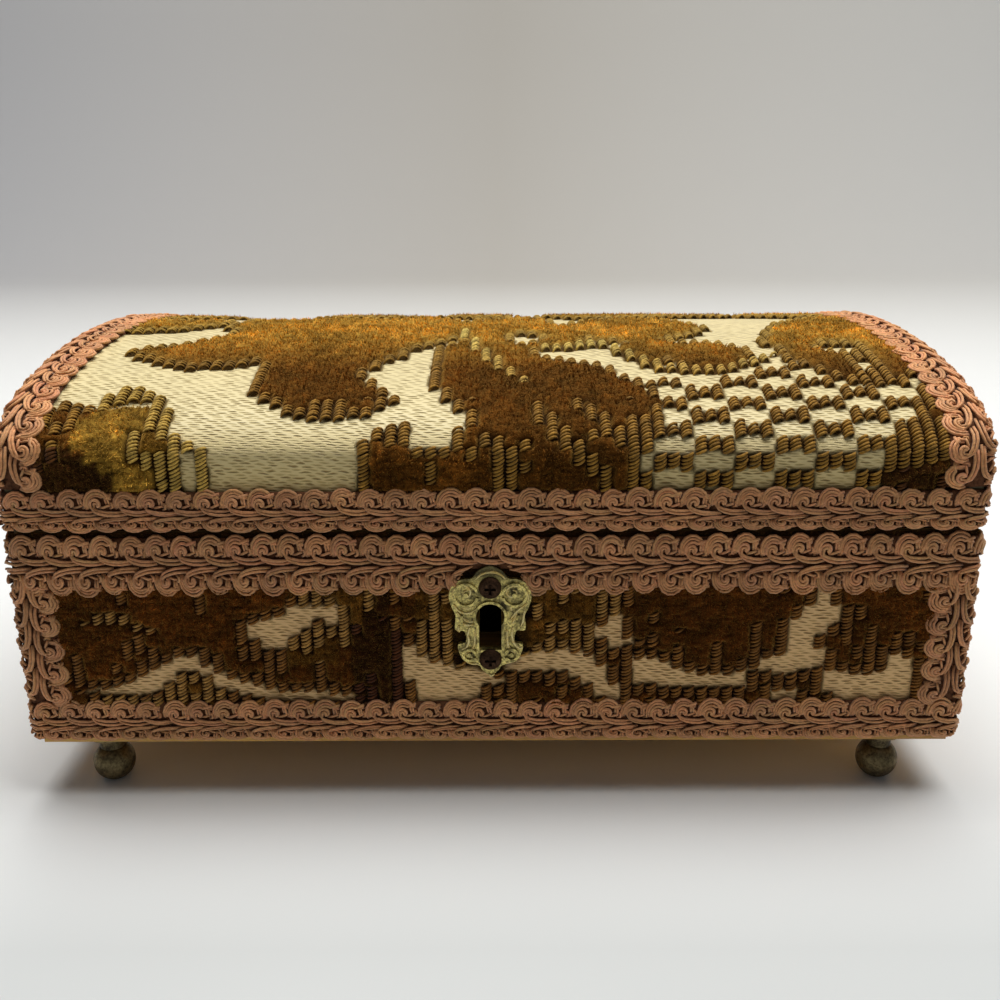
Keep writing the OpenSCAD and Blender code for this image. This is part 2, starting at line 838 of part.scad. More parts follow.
module lid_end_linings() {
    z0 = lid_z + 0.6;
    color("rosybrown") for (s = [-1, 1])
        mirror([s > 0 ? 0 : 1, 0, 0]) along_x(inner_w - lid_lining_t, inner_w)
            intersection() {
                lid_section(-panel_t - lid_lining_t, z0);
                yz_rect(-inner_d + lid_lining_t, inner_d - lid_lining_t, z0,
                        spring_z + dome_rise);
            }
}

translate([0, shift_y, 0]) {
    bottom_board();
    front_wall();
    back_wall();
    end_wall(-1);  // left_wall
    end_wall(1);  // right_wall
    front_fabric();
    back_fabric();
    end_fabric(-1);  // left_fabric
    end_fabric(1);  // right_fabric
    rim_braid();
    base_braid();
    corner_braids();
    floor_pad();
    wall_lining();
    ball_foot(-1, -1);  // ball_foot_front_left
    ball_foot(1, -1);  // ball_foot_front_right
    ball_foot(-1, 1);  // ball_foot_back_left
    ball_foot(1, 1);  // ball_foot_back_right
    escutcheon();
    escutcheon_screws();
    lock_plate();
    lock_cap();
    lock_bolt();
    lock_spring();
    lock_screws();
    case_leaf(-hinge_x);  // hinge_left_case_leaf
    case_leaf(hinge_x);  // hinge_right_case_leaf
    hinge_pins();
    hinge_case_screws();
    lid_front_rail();
    lid_back_rail();
    lid_end(-1);  // lid_left_end
    lid_end(1);  // lid_right_end
    lid_panel();
    lid_top_fabric();
    lid_end_fabric(-1);  // lid_left_fabric
    lid_end_fabric(1);  // lid_right_fabric
    lid_rim_braid();
    arch_braid(-1);  // lid_left_arch_braid
    arch_braid(1);  // lid_right_arch_braid
    lid_lining();
    lid_end_linings();
    lock_strike();
    strike_screws();
    lid_leaf(-hinge_x);  // hinge_left_lid_leaf
    lid_leaf(hinge_x);  // hinge_right_lid_leaf
    hinge_lid_screws();
}
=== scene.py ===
"""Domed keepsake box in floral cut velvet with gimp braid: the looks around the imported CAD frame."""
import math
import random

import bmesh
import bpy
import numpy as np
from mathutils import Matrix, Vector


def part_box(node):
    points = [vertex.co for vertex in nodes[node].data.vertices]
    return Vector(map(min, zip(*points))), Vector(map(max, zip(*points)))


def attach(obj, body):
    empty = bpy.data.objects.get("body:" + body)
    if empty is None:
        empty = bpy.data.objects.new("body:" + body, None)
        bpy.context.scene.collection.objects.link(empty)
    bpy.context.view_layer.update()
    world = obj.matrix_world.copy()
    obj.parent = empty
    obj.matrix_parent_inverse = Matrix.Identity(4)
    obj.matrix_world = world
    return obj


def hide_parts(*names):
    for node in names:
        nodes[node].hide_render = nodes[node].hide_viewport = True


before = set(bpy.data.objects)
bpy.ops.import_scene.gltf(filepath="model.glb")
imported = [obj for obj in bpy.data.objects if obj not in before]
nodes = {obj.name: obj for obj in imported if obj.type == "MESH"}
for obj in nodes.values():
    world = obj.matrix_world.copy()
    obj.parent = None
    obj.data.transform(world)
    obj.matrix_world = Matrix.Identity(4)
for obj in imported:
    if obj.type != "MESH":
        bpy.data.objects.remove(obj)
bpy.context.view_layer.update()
MM = 0.001


def box_mm(node):
    """Lowest and highest corner of a CAD node in millimetres."""
    low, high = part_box(node)
    return np.array(low) / MM, np.array(high) / MM


# Measures of the frame, in millimetres
rim_low, rim_high = box_mm("rim_braid")
CENTRE_Y = (rim_low[1] + rim_high[1]) / 2
BRAID_T = 1.8
HALF_X = rim_high[0] - BRAID_T
HALF_Y = (rim_high[1] - rim_low[1]) / 2 - BRAID_T
top_low, top_high = box_mm("lid_top_fabric")
SPRING_Z = 84.0
DOME_A = HALF_Y
DOME_B = top_high[2] - SPRING_Z
ARCH_FOOT_Z = 79.2


# ------------------------------------------------------------------ small helpers
def linear(r, g, b):
    """An sRGB colour in 0 to 255 as linear RGB."""
    out = []
    for v in (r, g, b):
        v /= 255
        out.append(v / 12.92 if v <= 0.04045 else ((v + 0.055) / 1.055) ** 2.4)
    return tuple(out)


def hashed(i, j, seed):
    v = np.sin(i * 127.1 + j * 311.7 + seed * 74.7) * 43758.5453
    return v - np.floor(v)


def noise(u, v, cell, seed):
    """Smooth value noise in 0 to 1 over a lattice of the given cell."""
    x, y = u / cell, v / cell
    i, j = np.floor(x), np.floor(y)
    fx, fy = x - i, y - j
    fx, fy = fx * fx * (3 - 2 * fx), fy * fy * (3 - 2 * fy)
    a, b = hashed(i, j, seed), hashed(i + 1, j, seed)
    c, d = hashed(i, j + 1, seed), hashed(i + 1, j + 1, seed)
    return (a * (1 - fx) + b * fx) * (1 - fy) + (c * (1 - fx) + d * fx) * fy


def make_mesh(name, verts, faces, materials, colours=None, face_materials=None, uvs=None, smooth=True):
    """A mesh object from vertices in millimetres and an array of quads or triangles."""
    mesh = bpy.data.meshes.new(name)
    verts = np.asarray(verts, float).reshape(-1, 3) * MM
    faces = np.asarray(faces, np.int32)
    count, size = faces.shape
    mesh.vertices.add(len(verts))
    mesh.vertices.foreach_set("co", verts.astype(np.float32).ravel())
    mesh.loops.add(count * size)
    mesh.loops.foreach_set("vertex_index", faces.ravel())
    mesh.polygons.add(count)
    mesh.polygons.foreach_set("loop_start", np.arange(0, count * size, size, dtype=np.int32))
    mesh.polygons.foreach_set("loop_total", np.full(count, size, np.int32))
    mesh.polygons.foreach_set("use_smooth", np.full(count, smooth))
    for m in materials:
        mesh.materials.append(m)
    if face_materials is not None:
        mesh.polygons.foreach_set("material_index", np.asarray(face_materials, np.int32))
    if uvs is not None:
        layer = mesh.uv_layers.new(name="weave")
        layer.data.foreach_set("uv", np.asarray(uvs, np.float32)[faces.ravel()].ravel())
    if colours is not None:
        layer = mesh.color_attributes.new(name="dye_and_painted_light", type="FLOAT_COLOR", domain="POINT")
        rgba = np.ones((len(verts), 4), np.float32)
        rgba[:, :3] = colours
        layer.data.foreach_set("color", rgba.ravel())
    mesh.update(calc_edges=True)
    mesh.validate()
    obj = bpy.data.objects.new(name, mesh)
    bpy.context.scene.collection.objects.link(obj)
    return obj


def tubes(paths, refs, radii, sides):
    """Closed tubes along many paths at once. paths (n,k,3), refs (n,k,3), radii (k,) or (n,k)."""
    n, k, _ = paths.shape
    tangent = np.empty_like(paths)
    tangent[:, 1:-1] = paths[:, 2:] - paths[:, :-2]
    tangent[:, 0] = paths[:, 1] - paths[:, 0]
    tangent[:, -1] = paths[:, -1] - paths[:, -2]
    tangent /= np.linalg.norm(tangent, axis=2, keepdims=True) + 1e-12
    side = np.cross(tangent, refs)
    side /= np.linalg.norm(side, axis=2, keepdims=True) + 1e-12
    up = np.cross(side, tangent)
    radii = np.broadcast_to(np.asarray(radii, float), (n, k))
    angle = np.arange(sides) * 2 * math.pi / sides
    ring = (side[:, :, None, :] * np.cos(angle)[None, None, :, None]
            + up[:, :, None, :] * np.sin(angle)[None, None, :, None])
    verts = paths[:, :, None, :] + ring * radii[:, :, None, None]
    index = np.arange(n * k * sides).reshape(n, k, sides)
    a = index[:, :-1, :]
    b = np.roll(a, -1, axis=2)
    c = index[:, 1:, :]
    d = np.roll(c, -1, axis=2)
    quads = np.stack([a, b, d, c], axis=-1).reshape(-1, 4)
    caps = []
    if sides == 4:
        caps = [index[:, 0, ::-1], index[:, -1, :]]
    else:
        for ring_index, flip in ((index[:, 0, :], True), (index[:, -1, :], False)):
            for s in range(1, sides - 1, 2):
                t = min(s + 2, sides - 1)
                quad = [ring_index[:, 0], ring_index[:, s], ring_index[:, s + 1], ring_index[:, t]]
                if t == s + 1:
                    quad[3] = ring_index[:, 0]
                quad = np.stack(quad, axis=-1)
                caps.append(quad[:, ::-1] if flip else quad)
    return verts.reshape(-1, 3), quads, caps


def ring_shade(tint, points, sides, low, high):
    """One colour per path as one colour per tube vertex: painted shade underneath and painted highlight on top."""
    turn = np.sin(np.arange(sides) * 2 * math.pi / sides)
    factor = np.tile(low + (high - low) * (turn * 0.5 + 0.5), points)
    return (tint[:, None, :] * factor[None, :, None]).reshape(-1, 3)


def finish_tubes(parts):
    """Joins the results of tubes() into one list of vertices and triangles or quads."""
    verts, faces, tints, base = [], [], [], 0
    for v, quads, caps, tint in parts:
        verts.append(v)
        faces.append(quads + base)
        for cap in caps:
            keep = cap[:, 0] != cap[:, 3]
            if keep.all():
                faces.append(cap + base)
        tints.append(tint)
        base += len(v)
    return np.concatenate(verts), np.concatenate(faces), np.concatenate(tints)


# ------------------------------------------------------------------ materials
class Look:
    """A material with a Principled shader and short calls for its nodes."""

    def __init__(self, name, **values):
        self.mat = bpy.data.materials.new(name)
        self.mat.use_nodes = True
        self.tree = self.mat.node_tree
        self.shader = self.tree.nodes["Principled BSDF"]
        self.mat.diffuse_color = (*values.get("view", (0.5, 0.4, 0.3)), 1)
        for key, value in values.items():
            if key != "view":
                socket = self.shader.inputs[key.replace("_", " ")]
                socket.default_value = value

    def node(self, kind, **settings):
        made = self.tree.nodes.new(kind)
        for key, value in settings.items():
            if hasattr(made, key):
                setattr(made, key, value)
            else:
                made.inputs[key.replace("_", " ")].default_value = value
        return made

    def link(self, out, into):
        self.tree.links.new(out, into)

    def coords(self, kind="Object", scale=(1, 1, 1)):
        source = self.node("ShaderNodeTexCoord")
        mapping = self.node("ShaderNodeMapping")
        mapping.inputs["Scale"].default_value = scale
        self.link(source.outputs[kind], mapping.inputs["Vector"])
        return mapping.outputs["Vector"]

    def noise(self, scale, detail=3.0, rough=0.55, stretch=(1, 1, 1), kind="Object"):
        made = self.node("ShaderNodeTexNoise", Scale=scale, Detail=detail, Roughness=rough)
        self.link(self.coords(kind, stretch), made.inputs["Vector"])
        return made.outputs["Fac"]

    def ramp(self, fac, stops):
        made = self.node("ShaderNodeValToRGB")
        elements = made.color_ramp.elements
        while len(elements) < len(stops):
            elements.new(0.5)
        for element, (place, colour) in zip(elements, stops):
            element.position = place
            element.color = (*colour, 1)
        self.link(fac, made.inputs["Fac"])
        return made.outputs["Color"]

    def mix(self, fac, a, b, kind="MIX"):
        made = self.node("ShaderNodeMix", data_type="RGBA", blend_type=kind)
        for value, slot in ((fac, 0), (a, 6), (b, 7)):
            if hasattr(value, "is_output"):
                self.link(value, made.inputs[slot])
            else:
                made.inputs[slot].default_value = value if slot == 0 else (*value, 1)
        return made.outputs[2]

    def math(self, kind, a, b=0.0, c=0.0):
        made = self.node("ShaderNodeMath", operation=kind)
        for value, slot in ((a, 0), (b, 1), (c, 2)):
            if hasattr(value, "is_output"):
                self.link(value, made.inputs[slot])
            else:
                made.inputs[slot].default_value = value
        return made.outputs[0]

    def bump(self, height, distance, strength=1.0, after=None):
        made = self.node("ShaderNodeBump", Strength=strength, Distance=distance)
        self.link(height, made.inputs["Height"])
        if after is not None:
            self.link(after, made.inputs["Normal"])
        self.link(made.outputs["Normal"], self.shader.inputs["Normal"])
        return made.outputs["Normal"]

    def colour(self, out):
        self.link(out, self.shader.inputs["Base Color"])

    def dye_and_painted_light(self):
        return self.node("ShaderNodeAttribute", attribute_name="dye_and_painted_light").outputs["Color"]


def grey(v):
    return (v, v, v)


FLOAT_PITCH, FLOAT_LENGTH = 0.78, 3.4


def pile_look():
    k = Look("cut_pile", Roughness=0.95, Specular_IOR_Level=0.08, Sheen_Weight=0.9, Sheen_Roughness=0.4,
             view=linear(140, 90, 40))
    k.shader.inputs["Sheen Tint"].default_value = (*linear(255, 196, 96), 1)
    fine = k.noise(1900, 4, 0.7)
    tuft = k.noise(620, 3, 0.6)
    shade = k.mix(0.65, k.ramp(fine, [(0.3, grey(0.45)), (0.7, grey(1.5))]),
                  k.ramp(tuft, [(0.3, grey(0.5)), (0.7, grey(1.45))]))
    k.colour(k.mix(1.0, k.dye_and_painted_light(), shade, "MULTIPLY"))
    first = k.bump(tuft, 0.0008, 0.8)
    k.bump(fine, 0.0004, 0.9, first)
    return k.mat


def nap_look():
    k = Look("pile_fibres", Roughness=0.85, Specular_IOR_Level=0.1, Sheen_Weight=0.9, Sheen_Roughness=0.4,
             view=linear(140, 90, 40))
    k.shader.inputs["Sheen Tint"].default_value = (*linear(255, 200, 100), 1)
    k.colour(k.mix(1.0, k.dye_and_painted_light(), k.ramp(k.noise(1200, 2), [(0.3, grey(0.7)), (0.7, grey(1.25))]), "MULTIPLY"))
    return k.mat


def satin_look():
    k = Look("satin_ground", Roughness=0.46, Specular_IOR_Level=0.4, Sheen_Weight=0.1, view=linear(220, 208, 170))
    uv = k.node("ShaderNodeUVMap", uv_map="weave").outputs["UV"]
    wobble = k.node("ShaderNodeTexNoise", Scale=0.3, Detail=3.0)
    k.link(uv, wobble.inputs["Vector"])
    moved = k.node("ShaderNodeVectorMath", operation="MULTIPLY_ADD")
    k.link(wobble.outputs["Color"], moved.inputs[0])
    moved.inputs[1].default_value = (2.4, 1.1, 0)
    k.link(uv, moved.inputs[2])
    parts = k.node("ShaderNodeSeparateXYZ")
    k.link(moved.outputs["Vector"], parts.inputs[0])
    rows = k.math("DIVIDE", parts.outputs[1], FLOAT_PITCH)
    along = k.math("DIVIDE", parts.outputs[0], FLOAT_LENGTH)
    slant = k.math("ADD", rows, k.math("MULTIPLY", along, 0.3))
    row = k.math("FLOOR", slant)
    shifted = k.math("MULTIPLY_ADD", row, 0.38, along)
    cell = k.node("ShaderNodeCombineXYZ")
    k.link(k.math("FLOOR", shifted), cell.inputs[0])
    k.link(row, cell.inputs[1])
    chance = k.node("ShaderNodeTexWhiteNoise", noise_dimensions="2D")
    k.link(cell.outputs[0], chance.inputs["Vector"])
    luck = k.node("ShaderNodeSeparateColor")
    k.link(chance.outputs["Color"], luck.inputs[0])
    dx = k.math("SUBTRACT", k.math("FRACT", shifted), k.math("MULTIPLY_ADD", luck.outputs[0], 0.3, 0.35))
    dy = k.math("SUBTRACT", k.math("FRACT", slant), k.math("MULTIPLY_ADD", luck.outputs[1], 0.2, 0.4))
    far = k.math("ADD", k.math("POWER", k.math("ABSOLUTE", k.math("DIVIDE", dx, 0.42)), 2.0),
                 k.math("POWER", k.math("ABSOLUTE", k.math("DIVIDE", dy, 0.4)), 1.5))
    slit = k.math("SUBTRACT", 1.0, k.math("MINIMUM", far, 1.0))
    deep = k.math("MULTIPLY", slit, k.math("MULTIPLY_ADD", luck.outputs[2], 0.75, 0.35))
    tone = k.ramp(deep, [(0.0, (1.08, 1.08, 1.08)), (0.3, (0.84, 0.8, 0.7)), (0.95, (0.46, 0.38, 0.25))])
    k.colour(k.mix(1.0, k.dye_and_painted_light(), tone, "MULTIPLY"))
    first = k.bump(k.math("SUBTRACT", 1.0, deep), 0.00028, 0.9)
    k.bump(k.noise(2500, 3), 0.00006, 0.5, first)
    return k.mat


def loop_look():
    k = Look("uncut_loops", Roughness=0.75, Specular_IOR_Level=0.18, Sheen_Weight=0.06, view=linear(170, 130, 60))
    fibre = k.noise(1500, 3, 0.65)
    k.colour(k.mix(1.0, k.dye_and_painted_light(), k.ramp(fibre, [(0.3, grey(0.6)), (0.7, grey(1.3))]), "MULTIPLY"))
    k.bump(fibre, 0.0003, 0.7)
    return k.mat


def gimp_look():
    k = Look("gimp_cord", Roughness=0.6, Specular_IOR_Level=0.35, Sheen_Weight=0.2, view=linear(190, 140, 110))
    fibre = k.noise(1400, 3, 0.6)
    k.colour(k.mix(1.0, k.dye_and_painted_light(), k.ramp(fibre, [(0.3, grey(0.72)), (0.7, grey(1.18))]), "MULTIPLY"))
    k.bump(fibre, 0.00025, 0.6)
    return k.mat


# Painted shade: the braid's ground is dark brown to stand for the shade between the cords.
def gimp_ground_shade_look():
    k = Look("gimp_ground", Roughness=0.9, Specular_IOR_Level=0.1, view=linear(120, 80, 60))
    fibre = k.noise(900, 3, 0.6)
    k.colour(k.ramp(fibre, [(0.3, linear(70, 42, 28)), (0.7, linear(126, 84, 58))]))
    k.bump(fibre, 0.0004, 0.8)
    return k.mat


def wood_look(name, dark, middle, pale):
    k = Look(name, Roughness=0.42, Specular_IOR_Level=0.45, view=linear(*middle))
    grain = k.noise(60, 5, 0.6, (0.12, 1, 1.6))
    pores = k.noise(900, 2, 0.5, (0.05, 1, 1))
    base = k.ramp(grain, [(0.25, linear(*dark)), (0.5, linear(*middle)), (0.8, linear(*pale))])
    k.colour(k.mix(0.3, base, k.ramp(pores, [(0.35, linear(*dark)), (0.6, linear(*pale))])))
    k.bump(pores, 0.0001, 0.4)
    return k.mat


def brass_look(name, light, dark, rough, scale=220, dirt=0.5, metal=0.92, uneven=0.45,
               crest=None, grain=0.00012):
    """Cast metal: worn bright on its edges, dark in patches, and dark above crest where that is given."""
    k = Look(name, Metallic=metal, Specular_IOR_Level=0.5, Roughness=rough, view=linear(*light))
    patch = k.noise(scale, 5, 0.65)
    spots = k.noise(scale * 5, 3, 0.6)
    pointy = k.node("ShaderNodeNewGeometry").outputs["Pointiness"]
    worn = k.ramp(pointy, [(0.44, grey(0.0)), (0.53, grey(1.0))])
    stain = k.mix(dirt, k.ramp(patch, [(0.4, grey(0.0)), (0.54, grey(1.0))]), worn)
    if crest:
        height = k.node("ShaderNodeSeparateXYZ")
        k.link(k.coords(), height.inputs[0])
        stain = k.mix(1.0, stain, k.ramp(k.math("MULTIPLY", height.outputs[2], 10.0),
                                         [(crest * 10, grey(1.0)), (crest * 10 + 0.025, grey(0.1))]), "MULTIPLY")
    base = k.mix(k.ramp(spots, [(0.3, grey(0.2)), (0.6, grey(1.0))]), linear(*dark), linear(*light))
    k.colour(k.mix(stain, linear(*dark), base))
    k.link(k.math("MULTIPLY_ADD", k.math("SUBTRACT", 1.0, patch), uneven, rough), k.shader.inputs["Roughness"])
    k.bump(spots, grain, 0.5)
    return k.mat


def lining_look():
    k = Look("lining_velvet", Roughness=0.85, Specular_IOR_Level=0.15, Sheen_Weight=0.7, Sheen_Roughness=0.35,
             view=linear(140, 84, 62))
    k.shader.inputs["Sheen Tint"].default_value = (*linear(255, 196, 168), 1)
    pile = k.noise(2200, 3, 0.6)
    cloud = k.noise(45, 3)
    k.colour(k.mix(0.5, k.ramp(pile, [(0.35, linear(104, 58, 42)), (0.65, linear(168, 104, 78))]),
                   k.ramp(cloud, [(0.3, linear(130, 76, 56)), (0.7, linear(146, 90, 68))])))
    k.bump(pile, 0.00015, 0.5)
    return k.mat


PILE, NAP, SATIN, LOOPS = pile_look(), nap_look(), satin_look(), loop_look()
GIMP, GIMP_GROUND_SHADE = gimp_look(), gimp_ground_shade_look()
WOOD = wood_look("carcass_wood", (96, 68, 32), (150, 114, 60), (176, 140, 82))
# The bottom board: gold-toned varnish, made lighter still as painted light for the bounce from the floor.
BOARD_VARNISH_AND_BOUNCE = wood_look("board_varnish_and_bounce", (150, 96, 34), (214, 160, 70), (236, 190, 98))
LINING = lining_look()
ANTIQUE_GOLD = brass_look("antique_gold", (255, 234, 142), (62, 54, 28), 0.24, 420, 0.25, 0.6, 0.2, 0.0545,
                          0.0004)
WORN_GOLD = brass_look("worn_gold", (255, 246, 186), (214, 184, 104), 0.2, 800, 0.4, 0.45, 0.15, 0.057,
                       0.0002)
# Painted shade: the lock's case is near black so the keyhole behind the plate reads dark.
KEYHOLE_SHADE_STEEL = brass_look("keyhole_shade_steel", (34, 30, 24), (14, 12, 10), 0.5, 200)
FEET_BRASS = brass_look("feet_brass", (150, 134, 96), (58, 50, 38), 0.3, 260)
LOCK_BRASS = brass_look("lock_brass", (196, 168, 96), (110, 86, 44), 0.3, 160)
DARK_SCREW = brass_look("dark_screw", (86, 62, 44), (34, 22, 16), 0.42, 500)
STEEL = brass_look("steel", (150, 148, 142), (96, 92, 86), 0.32, 200)

# ------------------------------------------------------------------ the velvet's pattern
COLUMN = 3.0
COLUMN_START = -108.5
GROUND, BROWN, OLIVE, GOLD_LOOP, PALE_LOOP, DARK_LOOP, OLIVE_LOOP, DARK, MOSS = range(9)
PILES = (BROWN, OLIVE, DARK, MOSS)
LOOPED = (GOLD_LOOP, PALE_LOOP, DARK_LOOP, OLIVE_LOOP)

LID_SHAPES = [
    (BROWN, [(-104, 77), (-102, 83), (-110, 113), (-79, 112), (-74, 99), (-76, 87), (-86, 79), (-96, 75)]),
    (BROWN, [(-94, 53), (-90, 58), (-81, 61), (-76, 68), (-71, 72), (-72, 78), (-77, 82), (-73, 95), (-68, 109),
             (-22, 112), (-10, 99), (-10, 65), (-16, 58), (-21, 54), (-22, 49), (-26, 45), (-29, 39), (-30, 34),
             (-27, 31), (-25, 26), (-21, 24), (-24, 21), (-29, 17), (-35, 16), (-41, 16), (-47, 18), (-52, 22),
             (-57, 27), (-58, 40), (-56, 46), (-59, 43), (-66, 41), (-74, 40), (-81, 42), (-88, 47)]),
    (OLIVE_LOOP, [(-89, 20), (-90, 24), (-88, 27), (-86, 29), (-83, 29), (-79, 27), (-75, 22), (-73, 18), (-72, 13),
                  (-70, 10), (-66, 9), (-64, 7), (-65, -16), (-85, -16), (-85, 3), (-92, 7), (-95, 9), (-93, 14),
                  (-90, 17)]),
    (GROUND, [(-89, 19), (-87, 21), (-84, 23), (-81, 23), (-79, 22), (-80, 20), (-84, 20), (-87, 19)]),
    (GROUND, [(-70, 7), (-67, 7), (-67, -16), (-71, -16)]),
    (BROWN, [(-104, 13), (-102, 20), (-99, 23), (-95, 22), (-90, 19), (-90, 3), (-104, 3)]),
    (DARK, [(-104, 8), (-97, 8), (-91, 6), (-85, 2), (-83, -3), (-84, -16), (-104, -16)]),
    (MOSS, [(-91, 17), (-88, 19), (-86, 20), (-80, 21), (-77, 18), (-77, 14), (-80, 12), (-82, 9), (-82, 5),
            (-79, 3), (-76, 2), (-76, -4), (-82, -5), (-85, 1), (-89, 4), (-93, 8), (-95, 12)]),
    (BROWN, [(-31, 1), (-31, 9), (-28, 10), (-28, 12), (-24, 14), (-18, 15), (-18, 8), (-10, 8), (-10, 12), (-6, 13),
             (-6, 18), (-9, 19), (-9, 22), (-12, 23), (-12, 28), (-15, 29), (-16, 55), (-12, 59), (-9, 65), (-10, 90),
             (-4, 104), (14, 106), (17, 93), (20, 80), (16, 73), (13, 72), (11, 67), (10, 60), (11, 49), (18, 47),
             (24, 43), (27, 43), (31, 36), (36, 31), (38, 26), (39, 19), (39, 15), (36, 15), (30, 14), (31, 10),
             (32, 5), (35, -16), (-31, -16)]),
    (GROUND, [(5, 68), (8, 71), (12, 66), (8, 58)]),
    (PALE_LOOP, [(-9, 81), (-6, 69), (-3, 57), (0, 50), (3, 42), (6, 36), (10, 31), (10, 28), (6, 31), (4, 34),
                 (1, 38), (-2, 44), (-5, 51), (-8, 65)]),
    (BROWN, [(22, 92), (32, 100), (46, 104), (56, 88), (59, 79), (55, 71), (50, 66), (45, 63), (38, 58), (37, 47),
             (35, 51), (31, 61), (26, 64), (21, 60), (14, 58), (10, 60), (11, 67), (13, 72), (17, 80)]),
    (BROWN, [(37, 47), (38, 58), (45, 63), (52, 63), (60, 60), (65, 54), (67, 50), (63, 46), (56, 41), (49, 41),
             (42, 44)]),
    (BROWN, [(69, 62), (73, 75), (79, 88), (88, 98), (103, 108), (106, 98), (106, 36), (100, 34), (95, 34),
             (92, 44), (89, 31), (84, 31), (80, 36), (75, 42), (72, 47)]),
    (GOLD_LOOP, [(86.5, 31), (86.5, 50), (83.5, 52), (83.5, 62), (92.5, 62), (95.5, 58), (95.5, 31)]),
    (GROUND, [(83.5, 53), (83.5, 57), (92.5, 57), (92.5, 53)]),
    (GROUND, [(89.5, 39), (89.5, 45), (92.5, 45), (92.5, 39)]),
    (BROWN, [(88, 7), (91, 10), (93, 14), (96, 18), (99, 24), (106, 30), (106, -16), (87, -16), (88, 4)]),
    (DARK, [(86, -16), (87, 1), (91, 3), (106, 4), (106, -16)]),
    (GOLD_LOOP, [(89, 2), (92, 11), (95, 15), (101, 16), (101, 4)]),
]
PALE_BAND = [(13, 58), (22, 61), (28, 64), (34, 53), (37, 48), (41, 43), (49, 41), (56, 41), (63, 46), (67, 49),
             (71, 50), (66, 44), (59, 39), (54, 37), (48, 37), (41, 38), (38, 40), (35, 44), (31, 50), (28, 57),
             (24, 57), (20, 55), (13, 54)]
LATTICE = [(35, 31), (41, 34), (49, 29), (55, 36), (65, 41), (71, 48), (75, 39), (79, 34), (84, 31), (86, 37),
           (94, 46), (96, 38), (101, 35), (103, 25), (103, 14), (99, 9), (92, 11), (88, 2), (87, -16), (35, -16),
           (32, 5), (31, 10), (30, 14), (36, 15), (39, 15), (40, 22), (38, 26)]
LATTICE_ROWS = [-8.6, -4.4, -0.2, 4.1, 8.4, 12.6, 16.9, 21.8, 26.6, 31.9, 37.2, 42.6]
EARS = [(1, -16, 10.5), (4, -16, 8), (10, 14, 22), (13, 9, 16.5), (16, 7, 12.5), (19, 3.5, 9), (22, 1, 6), (25, -16, 3),
        (19, 18.5, 22.5), (22, 15, 20.5), (25, 10, 18), (28, 7.5, 13), (31, 4, 17), (34, 10, 16.5)]
FRONT_SHAPES = [
    (GROUND, [(-59, 42), (-57, 44), (-51, 46), (-46, 49), (-42, 50), (-38, 49), (-35, 47), (-36, 43), (-39, 44),
              (-41, 45), (-44, 43), (-47, 41), (-49, 40), (-50, 38), (-54, 38), (-57, 41)]),
    (GROUND, [(-97, 28), (-91, 28), (-85, 30), (-81, 32), (-76, 35), (-73, 37), (-70, 36), (-69, 34), (-66, 32),
              (-61, 30), (-55, 28), (-48, 27), (-34, 26), (-34, 24), (-48, 24), (-57, 25), (-62, 27), (-65, 28),
              (-67, 31), (-70, 32), (-73, 32), (-75, 31), (-78, 28), (-82, 26), (-88, 26), (-93, 26)]),
    (OLIVE, [(-50, 38), (-49, 40), (-44, 43), (-40, 45), (-36, 43), (-35, 38), (-36, 35), (-45, 34), (-49, 35)]),
    (OLIVE, [(-46, 49), (-45, 56), (-32, 56), (-33, 48), (-35, 47), (-38, 49)]),
    (OLIVE_LOOP, [(-82, 25), (-79, 27), (-75, 31), (-73, 32), (-70, 32), (-67, 31), (-65, 28), (-64, 25), (-65, 21),
                  (-94, 21), (-93, 26), (-88, 26)]),
    (OLIVE_LOOP, [(-96, 45), (-90, 48), (-84, 46), (-79, 43), (-81, 42), (-86, 44), (-90, 45), (-96, 44)]),
    (DARK, [(-33, 22), (-33, 43), (-29, 48), (-27, 56), (-23, 56), (-23, 40), (-23, 22)]),
    (DARK_LOOP, [(-23, 56), (-20, 56), (-20, 40), (-22, 39), (-23, 22), (-25, 26), (-24, 42), (-22, 43)]),
    (OLIVE, [(-35, 56), (-26, 56), (-29, 48), (-33, 43), (-35, 39)]),
    (OLIVE, [(-19, 56), (23, 56), (25, 47), (22, 41), (26, 37), (20, 38), (6, 36), (2, 33), (-8, 33), (-17, 36),
             (-20, 40)]),
    (GROUND, [(-22, 39), (-19, 39), (-16, 35), (-12, 34), (-8, 33), (-4, 33), (2, 30), (2, 29), (-3, 28), (-4, 22),
              (-17, 22), (-19, 28), (-21, 30), (-22, 31)]),
    (GROUND, [(2, 33), (6, 36), (12, 37), (17, 38), (20, 37), (23, 36), (26, 33), (27, 29), (30, 27), (30, 22),
              (27, 22), (24, 27), (20, 30), (16, 32), (11, 32), (5, 32)]),
    (GROUND, [(26, 46), (29, 46), (29, 41), (32, 40), (31, 39), (29, 37), (27, 38), (26, 40), (23, 41), (24, 43),
              (27, 44)]),
    (OLIVE, [(23, 56), (30, 56), (31, 41), (29, 41), (29, 46), (26, 46), (24, 46)]),
    (GROUND, [(32, 36), (38, 35), (43, 33), (50, 31), (57, 31), (61, 33), (64, 33), (64, 35), (68, 37), (70, 40),
              (69, 43), (67, 44), (71, 46), (73, 49), (74, 56), (78, 56), (79, 49), (81, 48), (81, 45), (78, 43),
              (76, 41), (76, 38), (78, 35), (76, 33), (73, 32), (69, 31), (61, 32), (61, 30), (58, 28), (41, 28),
              (33, 29)]),
    (GROUND, [(76, 30), (79, 32), (86, 31), (91, 32), (94, 36), (97, 35), (99, 22), (82, 22), (78, 27)]),
    (GROUND, [(64, 27), (73, 27), (73, 22), (65, 22)]),
]


